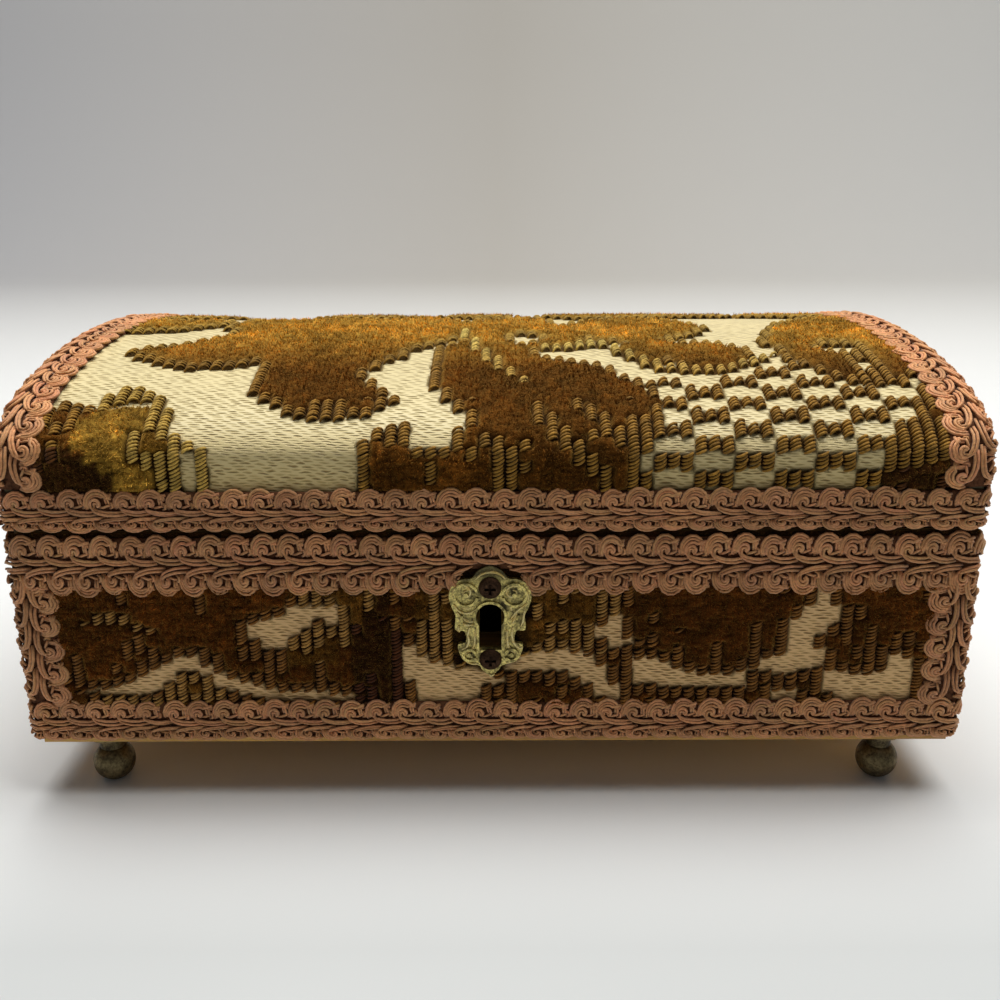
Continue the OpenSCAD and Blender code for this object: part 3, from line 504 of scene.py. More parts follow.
def inside(u, v, outline):
    """True where the points lie inside a closed outline."""
    hit = np.zeros(u.shape, bool)
    last = outline[-1]
    for point in outline:
        (x0, y0), (x1, y1) = last, point
        if y0 != y1:
            crosses = (y0 > v) != (y1 > v)
            hit ^= crosses & (u < x0 + (v - y0) * (x1 - x0) / (y1 - y0))
        last = point
    return hit


def lid_front_label(u, v):
    label = np.full(u.shape, GROUND)
    lattice = inside(u, v, LATTICE)
    rows = np.array(LATTICE_ROWS)
    nearest = np.abs(v[..., None] - rows).argmin(axis=-1)
    group = np.round((u - 40) / 9).astype(int)
    across = np.abs(u - 40 - 9 * group)
    along = np.abs(v - rows[nearest])
    block = ((group + nearest) % 2 != 0) & (along < np.where(across > 1.5, 2.6, 1.6))
    label[lattice & block] = GOLD_LOOP
    for kind, outline in LID_SHAPES:
        label[inside(u, v, outline)] = kind
    for x, low, high in EARS:
        label[(np.abs(u - x) < 1.5) & (v > low) & (v < high) & np.isin(label, (BROWN, GROUND))] = GOLD_LOOP
    band = inside(u, v, PALE_BAND) & (label == GROUND)
    label[band] = PALE_LOOP
    return label


def lid_label(u, v):
    """The dome's pattern: as the photo shows it up to the crown, then the same cloth turned round."""
    front = lid_front_label(u, v)
    back = lid_front_label(-u, 214 - v)
    return np.where(v < 107 + 16 * (noise(u, 0 * u, 15.0, 40) - 0.5), front, back)


def front_label(u, v):
    label = np.full(u.shape, BROWN)
    for kind, outline in FRONT_SHAPES:
        label[inside(u, v, outline)] = kind
    return label


def spread(mask, rows, cols):
    out = mask.copy()
    for dr in range(-rows, rows + 1):
        out |= np.roll(mask, dr, 0)
    mask = out.copy()
    for dc in range(-cols, cols + 1):
        out |= np.roll(mask, dc, 1)
    return out


def with_loops(label, grid_v, stray_top):
    """Pile next to bare ground ends in uncut loops, with stray columns of them below stray_top."""
    bare = label == GROUND
    near = spread(bare, 3, 0) | spread(bare, 0, 1)
    row, col = np.indices(label.shape)
    low = grid_v < stray_top
    near |= low & spread(bare, 9, 2) & (hashed(col, row // 4, 3) < 0.25)
    near |= low & (hashed(col, row // 3, 4) < 0.05)
    near |= (label == OLIVE) & (hashed(col, row // 5, 5) < 0.25)
    out = label.copy()
    out[near & (label == BROWN)] = GOLD_LOOP
    out[near & (label == DARK)] = DARK_LOOP
    out[near & (label == OLIVE)] = OLIVE_LOOP
    out[(label == OLIVE_LOOP) & ~spread(bare, 2, 1) & (hashed(col, row // 3, 6) < 0.25)] = OLIVE
    return out


def soften(a, times=1):
    for _ in range(times):
        p = np.pad(a, 1, mode="edge")
        a = (p[:-2, 1:-1] + p[2:, 1:-1] + p[1:-1, :-2] + p[1:-1, 2:] + 2 * p[1:-1, 1:-1]) / 6
    return a


DYES = {GROUND: linear(230, 213, 160), BROWN: linear(119, 71, 20), OLIVE: linear(134, 96, 30),
        GOLD_LOOP: linear(150, 110, 42), PALE_LOOP: linear(184, 148, 70), DARK_LOOP: linear(92, 54, 18),
        OLIVE_LOOP: linear(186, 152, 72), DARK: linear(66, 35, 12), MOSS: linear(196, 152, 60)}
# Painted shade: the cloth under the uncut loops is dark brown.
LOOP_GAP_SHADE = linear(40, 24, 10)
GROUND_H, PILE_H = -1.1, 1.25
TUFT = 1.5
PLAIN = ((1, 1, 1), (1, 1, 1))


def painted_crown_sheen(v):
    """Painted sheen and highlight: how much brighter the pile's red, green and blue are at v, brightest and gold-toned
    on the crown.
    """
    rise = np.clip((v - 18) / 45, 0, 1) * np.clip((150 - v) / 50, 0, 1)
    crown = np.clip((v - 38) / 28, 0, 1) * np.clip((150 - v) / 36, 0, 1)
    rise = (rise * rise * (3 - 2 * rise))[..., None]
    return 1 + rise * np.array((0.45, 0.5, 0.3)) + crown[..., None] * np.array((2.0, 4.3, 7.0))


def painted_rim_shade(v):
    """Painted shade on the satin at v: duller and warmer towards the lid's rim."""
    return 1 - np.clip((14 - v) / 18, 0, 1)[..., None] * np.array((0.0, 0.1, 0.28))


def even_rows(v):
    return np.full_like(v, 0.84)


def velvet(name, node, body, u_range, v_range, label_at, place, keep=None, press=None, step=0.5, dye_and_painted_light=PLAIN,
           row_pitch=even_rows, nap=8.0, seed=1, stray_top=24, dome_painted_light=False):
    """A sheet of velvet: satin ground and cut pile as one surface, uncut loops as strands on it, and the
    pile's fibres. row_pitch gives the height of a row of weft at each place, dye_and_painted_light tints
    satin and pile with painted shade, and dome_painted_light adds painted sheen and painted shade on the dome."""
    pad = 5
    table_v = np.arange(-60, 260, 0.25)
    table_w = np.cumsum(0.25 / row_pitch(table_v))
    table_w -= np.interp(0, table_v, table_w)

    def to_row(v):
        return np.interp(v, table_v, table_w)

    def from_row(w):
        return np.interp(w, table_w, table_v)

    first_col = math.floor((u_range[0] - COLUMN_START) / COLUMN) - pad
    last_col = math.ceil((u_range[1] - COLUMN_START) / COLUMN) + pad
    first_row, last_row = math.floor(to_row(v_range[0])) - pad, math.ceil(to_row(v_range[1])) + pad
    cu = COLUMN_START + COLUMN * (np.arange(first_col, last_col) + 0.5)
    cv = from_row(np.arange(first_row, last_row) + 0.5)
    grid_u, grid_v = np.meshgrid(cu, cv)
    label = with_loops(label_at(grid_u, grid_v), grid_v, stray_top)

    us = np.linspace(*u_range, round((u_range[1] - u_range[0]) / step) + 1)
    vs = np.linspace(*v_range, round((v_range[1] - v_range[0]) / step) + 1)
    u, v = np.meshgrid(us, vs)
    wavy_u = u + 0.9 * (noise(u, v, 2.1, seed) - 0.5)
    wavy_v = v + 0.9 * (noise(u, v, 1.7, seed + 1) - 0.5)
    col = np.floor((wavy_u - COLUMN_START) / COLUMN).astype(int) - first_col
    row = np.floor(to_row(wavy_v)).astype(int) - first_row
    fine = label[row, col]
    pile = np.isin(fine, PILES)
    loops = np.isin(fine, LOOPED)
    raised = soften(pile.astype(float), 2)
    tuft_u = (wavy_u - COLUMN_START) / TUFT
    tuft_v = to_row(wavy_v)
    bulge = (1 - (2 * (tuft_u % 1) - 1) ** 4) * (1 - (2 * (tuft_v % 1) - 1) ** 4)
    tuft = hashed(np.floor(tuft_u), np.floor(tuft_v), seed + 2)
    small = noise(u, v, 0.62, seed + 3)
    clump = noise(u, v, 2.6, seed + 5)
    broad = noise(u, v, 11.0, seed + 4)
    height = GROUND_H + raised * (PILE_H * 0.5 + 0.35 * bulge + 0.4 * tuft * bulge + 0.35 * small
                                  + 0.35 * (clump - 0.3)) - 0.15 * loops
    if press is not None:
        height = np.where(press(u, v), np.minimum(height, -0.75), height)
    colours = np.zeros(u.shape + (3,))
    for kind, colour in DYES.items():
        colours[fine == kind] = colour
    colours[loops] = LOOP_GAP_SHADE
    # Painted shade: the pile is darker between its tufts; the tuft, clump and broad noise add a random tone.
    depth = (0.2 + 0.45 * bulge) * (0.55 + 0.9 * tuft) + 0.35 * small
    shade = np.where(pile, depth * (0.65 + 0.7 * clump) * (0.7 + 0.6 * broad), 0.94 + 0.1 * broad)
    # Painted shadow: the cloth under the braid and the plate is darkened as well as pressed down.
    if press is not None:
        shade *= 1 - 0.78 * soften(press(u, v).astype(float), 3) ** 2
    satin = (fine == GROUND)[..., None]
    colours *= shade[..., None] * np.where(satin, dye_and_painted_light[0], dye_and_painted_light[1])
    # Painted light on the dome: sheen on the pile towards the crown, warm shade on the satin near the rim.
    if dome_painted_light:
        colours *= np.where(satin, painted_rim_shade(v), painted_crown_sheen(v))
    colours = np.stack([soften(colours[..., i]) for i in range(3)], axis=-1)
    where, _ = place(u.ravel(), v.ravel(), height.ravel())
    rows, cols = u.shape
    index = np.arange(rows * cols).reshape(rows, cols)
    faces = np.stack([index[:-1, :-1], index[:-1, 1:], index[1:, 1:], index[1:, :-1]], axis=-1).reshape(-1, 4)
    mid_u, mid_v = u.ravel()[faces].mean(axis=1), v.ravel()[faces].mean(axis=1)
    bare = (fine == GROUND).ravel()[faces].sum(axis=1) >= 3
    if keep is not None:
        kept = keep(mid_u, mid_v)
        faces, bare = faces[kept], bare[kept]
    used = np.unique(faces)
    renumber = np.zeros(rows * cols, np.int64)
    renumber[used] = np.arange(len(used))
    sheet = make_mesh(name, where[used], renumber[faces], [PILE, SATIN], colours.reshape(-1, 3)[used],
                      bare.astype(int), np.stack([u.ravel(), to_row(v).ravel()], axis=1)[used])
    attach(sheet, body)
    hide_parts(node)

    rng = np.random.default_rng(seed)
    area = (u_range[1] - u_range[0]) * (v_range[1] - v_range[0])
    ru = rng.uniform(*u_range, int(area * nap))
    rv = rng.uniform(*v_range, len(ru))
    rv = (np.floor(rv / 1.2) + 0.5) * 1.2 + rng.normal(0, 0.33, len(ru))
    iu = np.clip(((ru - us[0]) / (us[1] - us[0])).astype(int), 0, len(us) - 1)
    iv = np.clip(((rv - vs[0]) / (vs[1] - vs[0])).astype(int), 0, len(vs) - 1)
    on = raised[iv, iu] > 0.75
    if press is not None:
        on &= ~press(ru, rv)
    if keep is not None:
        on &= keep(ru, rv)
    ru, rv, iu, iv = ru[on], rv[on], iu[on], iv[on]
    root_h = height[iv, iu] - 0.25
    length = rng.uniform(0.5, 1.1, len(ru))
    lean, turn = rng.uniform(0.2, 0.8, len(ru)), rng.uniform(0, 2 * math.pi, len(ru))
    half = rng.uniform(0.08, 0.16, len(ru))
    wide = rng.uniform(0, math.pi, len(ru))
    tri_u = np.stack([ru - half * np.cos(wide), ru + half * np.cos(wide), ru + lean * np.cos(turn)], axis=1)
    tri_v = np.stack([rv - half * np.sin(wide), rv + half * np.sin(wide), rv + lean * np.sin(turn) - 0.15], axis=1)
    tri_h = np.stack([root_h, root_h, root_h + length], axis=1)
    fibre_at, _ = place(tri_u.ravel(), tri_v.ravel(), tri_h.ravel())
    # Painted shade and highlight: each fibre is dark at its foot and bright at its tip, with a random brightness.
    hue = colours[iv, iu] * (rng.uniform(0.4, 1.0, len(ru)) ** 2 * 2.2)[:, None]
    fibre_shade_and_highlight = np.stack([hue * 0.6, hue * 0.6, hue * 2.4], axis=1).reshape(-1, 3)
    fibres = make_mesh(name + "_nap", fibre_at, np.arange(len(fibre_at)).reshape(-1, 3), [NAP], fibre_shade_and_highlight,
                       smooth=False)
    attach(fibres, body)

    rows_at, cols_at = np.nonzero(np.isin(label, LOOPED))
    lu, lv = cu[cols_at], cv[rows_at]
    shown = (lu > u_range[0] + 1) & (lu < u_range[1] - 1) & (lv > v_range[0]) & (lv < v_range[1])
    if press is not None:
        shown &= ~press(lu, lv)
    if keep is not None:
        shown &= keep(lu, lv)
    lu, lv, kinds = lu[shown], lv[shown], label[rows_at, cols_at][shown]
    if not len(lu):
        return
    across = np.array([-1.33, -1.02, -0.45, 0.3, 0.95, 1.3])
    lift = np.array([-1.1, -0.45, 0.0, 0.05, -0.4, -1.1])
    radius = np.array([0.22, 0.34, 0.38, 0.38, 0.34, 0.22])
    jitter = rng.normal(0, 0.07, (len(lu), 1))
    slim = np.where(kinds == PALE_LOOP, 0.78, 0.88)[:, None]
    pu = lu[:, None] + across[None] * slim + rng.normal(0, 0.06, (len(lu), 1))
    pv = lv[:, None] + (0.5 * across[None] + jitter) * row_pitch(lv)[:, None]
    ph = np.broadcast_to(lift[None], pu.shape) + rng.normal(-0.1, 0.07, (len(lu), 1))
    where, normal = place(pu.ravel(), pv.ravel(), ph.ravel())
    shape = pu.shape + (3,)
    verts, quads, caps = tubes(where.reshape(shape), normal.reshape(shape), radius, 5)
    tone = rng.uniform(0.7, 1.25, len(lu))
    tint = np.array([DYES[int(kind)] for kind in kinds]) * tone[:, None] * np.array(dye_and_painted_light[1])
    # Painted sheen on the loops towards the crown.
    if dome_painted_light:
        tint *= 0.9 + 0.1 * painted_crown_sheen(lv)
    # Painted shade under each loop strand and painted highlight on top.
    tint = ring_shade(tint, len(across), 5, 0.15, 1.35)
    verts, faces, tints = finish_tubes([(verts, quads, caps, tint)])
    strands = make_mesh(name + "_loops", verts, faces, [LOOPS], tints)
    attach(strands, body)


# ------------------------------------------------------------------ places on the box
def dome_table(a, b, foot):
    """Arc length, point and outward normal along the dome's section, from the front foot to the back."""
    t = np.linspace(0, math.pi, 1200)
    y = -a * np.cos(t)
    z = SPRING_Z + b * np.sin(t)
    ny, nz = -np.cos(t) / a, np.sin(t) / b
    size = np.hypot(ny, nz)
    ny, nz = ny / size, nz / size
    legs = np.linspace(foot - 14, SPRING_Z, 60)[:-1]
    y = np.concatenate([np.full(59, -a), y, np.full(59, a)])
    z = np.concatenate([legs, z, legs[::-1]])
    ny = np.concatenate([np.full(59, -1.0), ny, np.full(59, 1.0)])
    nz = np.concatenate([np.zeros(59), nz, np.zeros(59)])
    s = np.concatenate([[0], np.cumsum(np.hypot(np.diff(y), np.diff(z)))]) - 14
    return s, y + CENTRE_Y, z, ny, nz


PILE_SECTION = dome_table(DOME_A + 0.6, DOME_B + 0.6, ARCH_FOOT_Z)
CLOTH_SECTION = dome_table(DOME_A, DOME_B, ARCH_FOOT_Z)
DOME_LENGTH = CLOTH_SECTION[0][-1] - 14


def on_section(section, s):
    return [np.interp(s, section[0], part) for part in section[1:]]


def place_dome(u, v, h):
    y, z, ny, nz = on_section(PILE_SECTION, v)
    normal = np.stack([np.zeros_like(ny), ny, nz], axis=-1)
    return np.stack([u, y, z], axis=-1) + normal * h[:, None], normal


def place_flat(face):
    """Puts u across and v = height on one of the four upright faces."""
    def place(u, v, h):
        out = {"front": (0, -1), "back": (0, 1), "left": (-1, 0), "right": (1, 0)}[face]
        normal = np.broadcast_to(np.array([*out, 0.0]), (len(u), 3))
        if face == "front":
            x, y = u, np.full_like(u, CENTRE_Y - HALF_Y - 0.6)
        elif face == "back":
            x, y = -u, np.full_like(u, CENTRE_Y + HALF_Y + 0.6)
        elif face == "left":
            x, y = np.full_like(u, -HALF_X - 0.6), CENTRE_Y - u
        else:
            x, y = np.full_like(u, HALF_X + 0.6), CENTRE_Y + u
        return np.stack([x, y, v], axis=-1) + normal * h[:, None], normal
    return place


def in_dome(u, v):
    return (v < SPRING_Z) | ((u / (DOME_A - 1.5)) ** 2 + ((v - SPRING_Z) / (DOME_B - 1.5)) ** 2 < 1)


# ------------------------------------------------------------------ velvet pieces
plate_low, plate_high = box_mm("escutcheon")
KEY_X = (plate_low[0] + plate_high[0]) / 2
KEY_Z = 46.6
KEY_R, KEY_SLOT_W, KEY_DROP = 3.3, 5.2, 9.0


def off_keyhole(u, v):
    hole = np.hypot(u - KEY_X, v - KEY_Z) < KEY_R + 0.5
    hole |= (np.abs(u - KEY_X) < KEY_SLOT_W / 2 + 0.5) & (v < KEY_Z) & (v > KEY_Z - KEY_DROP)
    return ~hole


def under_gimp(u, v, reach):
    return (v > 53.5) | (v < 23.5) | (np.abs(u) > reach)


def under_plate(u, v, reach=0.95):
    mid = (plate_low[2] + plate_high[2]) / 2
    half_w = (plate_high[0] - plate_low[0]) / 2
    half_h = (plate_high[2] - plate_low[2]) / 2
    return (np.abs(u - KEY_X) / half_w) ** 2.6 + (np.abs(v - mid) / half_h) ** 2.6 < reach


EDGE = HALF_X - 0.8
PLATE_T, QUILT = 1.2, 28.0
# Ridges of the cast scrollwork, as (across, up) from the keyhole's centre, the left side first
PLATE_RIDGES = [
    [(-8.0, 3.7), (-8.5, 5.4), (-8.0, 7.1), (-6.5, 7.9), (-5.0, 7.3), (-4.5, 6.0), (-5.1, 5.0),
     (-6.0, 5.4), (-5.9, 6.3), (-5.2, 6.5)],
    [(8.8, 4.0), (8.5, 6.0), (7.3, 7.3), (5.5, 7.7), (4.1, 7.1), (3.8, 6.0), (4.5, 5.0), (5.6, 5.2),
     (6.0, 6.2), (5.2, 6.6)],
    [(-8.3, 3.1), (-7.4, 1.7), (-5.8, 0.9), (-4.2, 1.2), (-3.3, 2.0)],
    [(-7.4, 3.7), (-6.5, 2.5), (-5.2, 2.1), (-4.0, 2.5)],
    [(-7.7, 1.2), (-6.5, -0.2), (-4.9, -1.2), (-3.3, -1.0)],
    [(-7.4, -0.2), (-6.5, -1.5), (-5.1, -2.1), (-3.7, -1.9)],
    [(8.4, 3.3), (6.9, 2.1), (5.7, 0.8), (4.6, -0.8)],
    [(3.9, 3.7), (4.6, 2.7), (5.0, 1.5)],
    [(8.0, 1.7), (7.7, 0.2), (7.5, -1.3), (6.9, -2.5)],
    [(6.2, 1.0), (5.5, -0.6), (5.2, -1.9)],
    [(-7.2, -2.1), (-7.4, -3.3), (-7.0, -3.8)],
    [(-4.7, -2.5), (-5.2, -4.4), (-5.0, -6.3), (-5.7, -7.9), (-6.7, -8.1)],
    [(-3.3, -2.9), (-3.5, -4.8), (-3.7, -7.1), (-4.7, -8.7), (-6.0, -9.2)],
    [(5.2, -2.5), (5.0, -4.4), (5.4, -6.5), (6.6, -7.9), (7.5, -7.7)],
    [(3.8, -3.3), (3.9, -5.2), (4.1, -7.3), (5.2, -8.8), (6.6, -9.4)],
    [(-6.3, -9.8), (-5.6, -11.2), (-4.2, -11.9), (-2.8, -12.0)],
    [(-4.7, -9.6), (-4.0, -10.6), (-3.0, -10.8)],
    [(6.4, -10.0), (5.9, -11.0), (4.6, -11.5), (3.6, -11.7)],
    [(-3.3, 9.2), (-1.9, 10.5), (0.2, 11.0), (2.3, 10.5), (3.6, 9.2)],
    [(-0.5, -14.4), (0.2, -15.0), (0.9, -14.4)],
]


def lid_rows(v):
    t = np.clip((np.minimum(v, DOME_LENGTH - v) - 5) / 40, 0, 1)
    return 0.85 + 0.5 * t * t * (3 - 2 * t)


# Painted shade: the front is in shade, so its satin is tinted warmer and its pile and loops darker.
FRONT_PAINTED_SHADE = ((1.08, 0.82, 0.67), (0.74, 0.6, 0.7))
velvet("lid_velvet_front", "lid_top_fabric", "lid", (-EDGE, EDGE), (-11.2, 83), lid_label, place_dome,
       press=lambda u, v: (v < -2.5) | (np.abs(u) > 102), row_pitch=lid_rows, dome_painted_light=True)
velvet("lid_velvet_back", "lid_top_fabric", "lid", (-EDGE, EDGE), (83, DOME_LENGTH + 11.2), lid_label, place_dome,
       press=lambda u, v: (v > DOME_LENGTH + 2.5) | (np.abs(u) > 102), row_pitch=lid_rows, nap=4.0, seed=2,
       dome_painted_light=True)
velvet("front_velvet", "front_fabric", "case", (-EDGE, EDGE), (16, 66.8), front_label, place_flat("front"),
       keep=off_keyhole, press=lambda u, v: under_plate(u, v) | under_gimp(u, v, 101.5), nap=10.0, stray_top=60,
       dye_and_painted_light=FRONT_PAINTED_SHADE)
velvet("back_velvet", "back_fabric", "case", (-EDGE, EDGE), (16, 66.8), lambda u, v: front_label(-u + 12, v),
       place_flat("back"), press=lambda u, v: under_gimp(u, v, 101.5), stray_top=60)
for side, shift in (("left", -22), ("right", 24)):
    velvet(f"{side}_velvet", f"{side}_fabric", "case", (-71.6, 71.6), (16, 66.8),
           lambda u, v: front_label(u + shift, v), place_flat(side), press=lambda u, v: under_gimp(u, v, 69.5),
           stray_top=60)
for side, over, along in (("left", -30, 66), ("right", 24, 62)):
    velvet(f"lid_{side}_velvet", f"lid_{side}_fabric", "lid", (-71.6, 71.6), (68, 101.6),
           lambda u, v: lid_label(u + over, v - along), place_flat(side), keep=in_dome,
           press=lambda u, v: v < 77)

# ------------------------------------------------------------------ gimp braid
PITCH = 6.05
BAND_HALF = 7.0
ROW_OFFSET = 1.45


def gimp_cords():
    """One unit of the upper row: cords as points (along, out from the middle, height) with a radius each."""
    cords = []
    mid_p, mid_q = 2.25, 3.35
    for side in (-0.34, 0.34):
        points = []
        for step in range(12):
            t = step / 11
            angle = math.radians(-60 + 275 * t)
            r = 0.48 + 0.52 * t + side * min(1, 0.4 + 1.2 * t)
            points.append((mid_p + r * math.cos(angle), mid_q + 1.12 * r * math.sin(angle),
                           0.8 + 0.6 * math.sin(math.pi * min(1, 0.2 + 0.8 * t))))
        for p, q, h in ((1.75, 1.85, 1.25), (2.9, 1.3, 1.35), (4.5, 0.9, 1.3), (6.3, 0.78, 1.1), (8.3, 0.95, 0.5)):
            points.append((p + 0.4 * side, q - 1.1 * side, h))
        cords.append((points, 0.38))
    for k, last in ((0, 55), (1, 30), (2, 25)):
        rx, ry = 1.75 + 0.5 * k, 2.05 + 0.72 * k
        points = []
        for step in range(8):
            angle = math.radians(205 - (205 - last) * step / 7)
            points.append((mid_p + 0.15 + rx * math.cos(angle), mid_q + ry * math.sin(angle),
                           1.0 - 0.14 * k - (0.5 if step == 0 else 0)))
        points.append((4.3, 5.35, 1.0) if k == 0 else (4.95, 4.6 + 0.35 * k, 0.8))
        points.append((5.5, 5.5, 0.5) if k == 0 else (5.2, 3.9 + 0.5 * k, 0.4))
        cords.append((points, 0.4))
    for p in (4.2, 4.75):
        cords.append(([(p - 0.15, 5.3, 0.7), (p, 4.3, 1.0), (p + 0.1, 3.1, 0.7)], 0.3))
    cords.append(([(2.8, 2.3, 0.6), (3.6, 2.5, 1.0), (4.5, 2.85, 1.05), (5.1, 2.9, 0.6)], 0.34))
    cords.append(([(4.9, 2.0, 0.4), (5.6, 2.4, 0.85), (5.6, 3.2, 0.85), (5.1, 3.5, 0.5)], 0.34))
    return cords


GIMP_DYE = linear(206, 146, 96)


def gimp_band(name, node, body, length, place, rows=(1.0, 1.0), flip=False, start=0.0, seed=5,
              painted_top_light=1.0):
    """A gimp braid: two mirrored rows of scrolls on a ground painted dark as shade, wrapped onto the box by place(p, q,
    h).
    """
    count = max(1, round(length / PITCH))
    scale = length / count / PITCH
    rng = np.random.default_rng(seed)
    parts = []
    for row, squeeze in ((1, rows[0]), (-1, rows[1])):
        turn, grow = rng.normal(0, 0.07, (count, 1)), rng.normal(1, 0.045, (count, 1))
        slip, lift = rng.normal(0, 0.16, (count, 1)), rng.normal(0, 0.1, (count, 1))
        # Painted light: the cords are brightened by a factor, above 1 for the arch braids on the dome.
        tone = rng.uniform(0.85, 1.12, count) * painted_top_light
        for points, radius in gimp_cords():
            pts = np.array(points)
            dp, dq = pts[None, :, 0] - 2.6, pts[None, :, 1] - 3.2
            loose = np.clip(pts[None, :, 1] / 2.5, 0, 1)
            p = 2.6 + grow * dp - turn * dq * loose + slip + (0 if row > 0 else ROW_OFFSET)
            q = 3.2 + dq + loose * (turn * dp + (grow - 1) * dq + lift) + rng.normal(0, 0.05, (count, 1))
            along = (p + PITCH * np.arange(count)[:, None]) * scale + start
            out = np.clip(q, 0.35, 7.05) * row * squeeze
            high = pts[None, :, 2] + rng.normal(0, 0.1, (count, 1))
            if flip:
                along = length + 2 * start - along
            where, normal = place(along.ravel(), out.ravel(), high.ravel())
            shape = along.shape + (3,)
            verts, quads, caps = tubes(where.reshape(shape), normal.reshape(shape), radius * (0.5 + 0.5 * squeeze), 5)
            hue = 1 + rng.normal(0, 0.03, (count, 3))
            # Painted shade under each cord and painted highlight on top.
            tint = ring_shade(np.array(GIMP_DYE)[None] * hue * tone[:, None], len(pts), 5, 0.45, 1.15)
            parts.append((verts, quads, caps, tint))
    verts, faces, tints = finish_tubes(parts)
    edge_hi, edge_lo = 6.1 * rows[0], -6.1 * rows[1]
    profile = np.array([(edge_hi, -0.3), (edge_hi - 0.1, 0.35), (edge_hi * 0.5, 0.5), (0.0, 0.35),
                        (edge_lo * 0.5, 0.5), (edge_lo + 0.1, 0.35), (edge_lo, -0.3)])
    steps = count * 6 + 1
    p = np.repeat(np.linspace(start, start + length, steps), len(profile))
    q = np.tile(profile[:, 0], steps)
    h = np.tile(profile[:, 1], steps)
    strip, _ = place(p, q, h)
    index = np.arange(steps * len(profile)).reshape(steps, -1)
    quads = np.stack([index[:-1, :-1], index[:-1, 1:], index[1:, 1:], index[1:, :-1]], axis=-1).reshape(-1, 4)
    faces = np.concatenate([faces, quads + len(verts)])
    slots = np.concatenate([np.zeros(len(faces) - len(quads)), np.ones(len(quads))])
    # Painted shade: the ground strip is coloured as the cords darkened to 0.4.
    tints = np.concatenate([tints, np.broadcast_to(np.array(GIMP_DYE) * 0.4, (len(strip), 3))])
    band = make_mesh(name, np.concatenate([verts, strip]), faces, [GIMP, GIMP_GROUND_SHADE], tints, slots)
    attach(band, body)
    if node:
        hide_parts(node)
    return band


ROUND = 1.4
STRAIGHTS = [HALF_X - ROUND, 2 * (HALF_Y - ROUND), 2 * (HALF_X - ROUND), 2 * (HALF_Y - ROUND), HALF_X - ROUND]
BEND = ROUND * math.pi / 2
RING_LENGTH = sum(STRAIGHTS) + 4 * BEND


def around(p):
    """Point and outward normal at length p round the box's plan, from the middle of the back."""
    p = np.mod(p, RING_LENGTH)
    x0, y0 = HALF_X - ROUND, HALF_Y - ROUND
    corners = [(-x0, y0), (-x0, -y0), (x0, -y0), (x0, y0)]
    starts = [(0.0, HALF_Y), (-HALF_X, y0), (-x0, -HALF_Y), (HALF_X, -y0), (x0, HALF_Y)]
    ways = [(-1, 0), (0, -1), (1, 0), (0, 1), (-1, 0)]
    x, y = np.zeros_like(p), np.zeros_like(p)
    nx, ny = np.zeros_like(p), np.zeros_like(p)
    done = 0.0
    for k in range(5):
        here = (p >= done) & (p <= done + STRAIGHTS[k])
        t = p[here] - done
        wx, wy = ways[k]
        x[here], y[here] = starts[k][0] + wx * t, starts[k][1] + wy * t
        nx[here], ny[here] = wy, -wx
        done += STRAIGHTS[k]
        if k < 4:
            here = (p > done) & (p < done + BEND)
            turn = math.pi / 2 * (k + 1) + (p[here] - done) / ROUND
            nx[here], ny[here] = np.cos(turn), np.sin(turn)
            x[here] = corners[k][0] + ROUND * nx[here]
            y[here] = corners[k][1] + ROUND * ny[here]
            done += BEND
    return x, y + CENTRE_Y, nx, ny


def place_ring(middle_z, curl=False):
    def place(p, q, h):
        x, y, nx, ny = around(p)
        if curl:
            h = h - 1.1 * np.clip((-q - 2.6) / 1.9, 0, 1) ** 2
        plate = (ny < -0.9) & under_plate(x, middle_z + q, 1.0)
        h = np.where(plate, np.minimum(h, 0) - 0.9, h)
        normal = np.stack([nx, ny, np.zeros_like(nx)], axis=-1)
        base = np.stack([x, y, middle_z + q], axis=-1)
        return base + normal * h[:, None], normal
    return place


def wrap(a):
    """A strip folded over an edge: offsets along the main face and down the end face, and the normal."""
    quarter = math.pi * ROUND / 4
    turn = math.radians(-135) + np.clip(a, -quarter, quarter) / ROUND
    n_u, n_v = np.cos(turn), np.sin(turn)
    u = ROUND + ROUND * n_u + np.maximum(a - quarter, 0)
    v = ROUND + ROUND * n_v + np.maximum(-a - quarter, 0)
    return u, v, n_u, n_v


FOLD = 4.2
MAIN = 2 * BAND_HALF - FOLD


def place_arch(side):
    """Along the dome's section at one end, folded down over the end face."""
    def place(p, q, h):
        u, v, n_u, n_v = wrap(q + MAIN - BAND_HALF)
        y, z, ny, nz = on_section(CLOTH_SECTION, p)
        x = side * (HALF_X - u)
        normal = np.stack([-side * n_u, -ny * n_v, -nz * n_v], axis=-1)
        base = np.stack([x, y - ny * v, z - nz * v], axis=-1)
        return base + normal * h[:, None], normal
    return place


def place_corner(side, end):
    """Up one corner of the case, folded round onto the end wall. end is -1 at the front."""
    def place(p, q, h):
        u, v, n_u, n_v = wrap(q + MAIN - BAND_HALF)
        x = side * (HALF_X - u)
        y = CENTRE_Y + end * (HALF_Y - v)
        normal = np.stack([-side * n_u, -end * n_v, np.zeros_like(n_u)], axis=-1)
        return np.stack([x, y, p], axis=-1) + normal * h[:, None], normal
    return place


gimp_band("rim_gimp", "rim_braid", "case", RING_LENGTH, place_ring(59.2), (1.05, 1.04), seed=11)
gimp_band("base_gimp", "base_braid", "case", RING_LENGTH, place_ring(18.5, True), (0.93, 0.62), seed=12)
gimp_band("lid_gimp", "lid_rim_braid", "lid", RING_LENGTH, place_ring(71.0), (0.89, 0.52), seed=13)
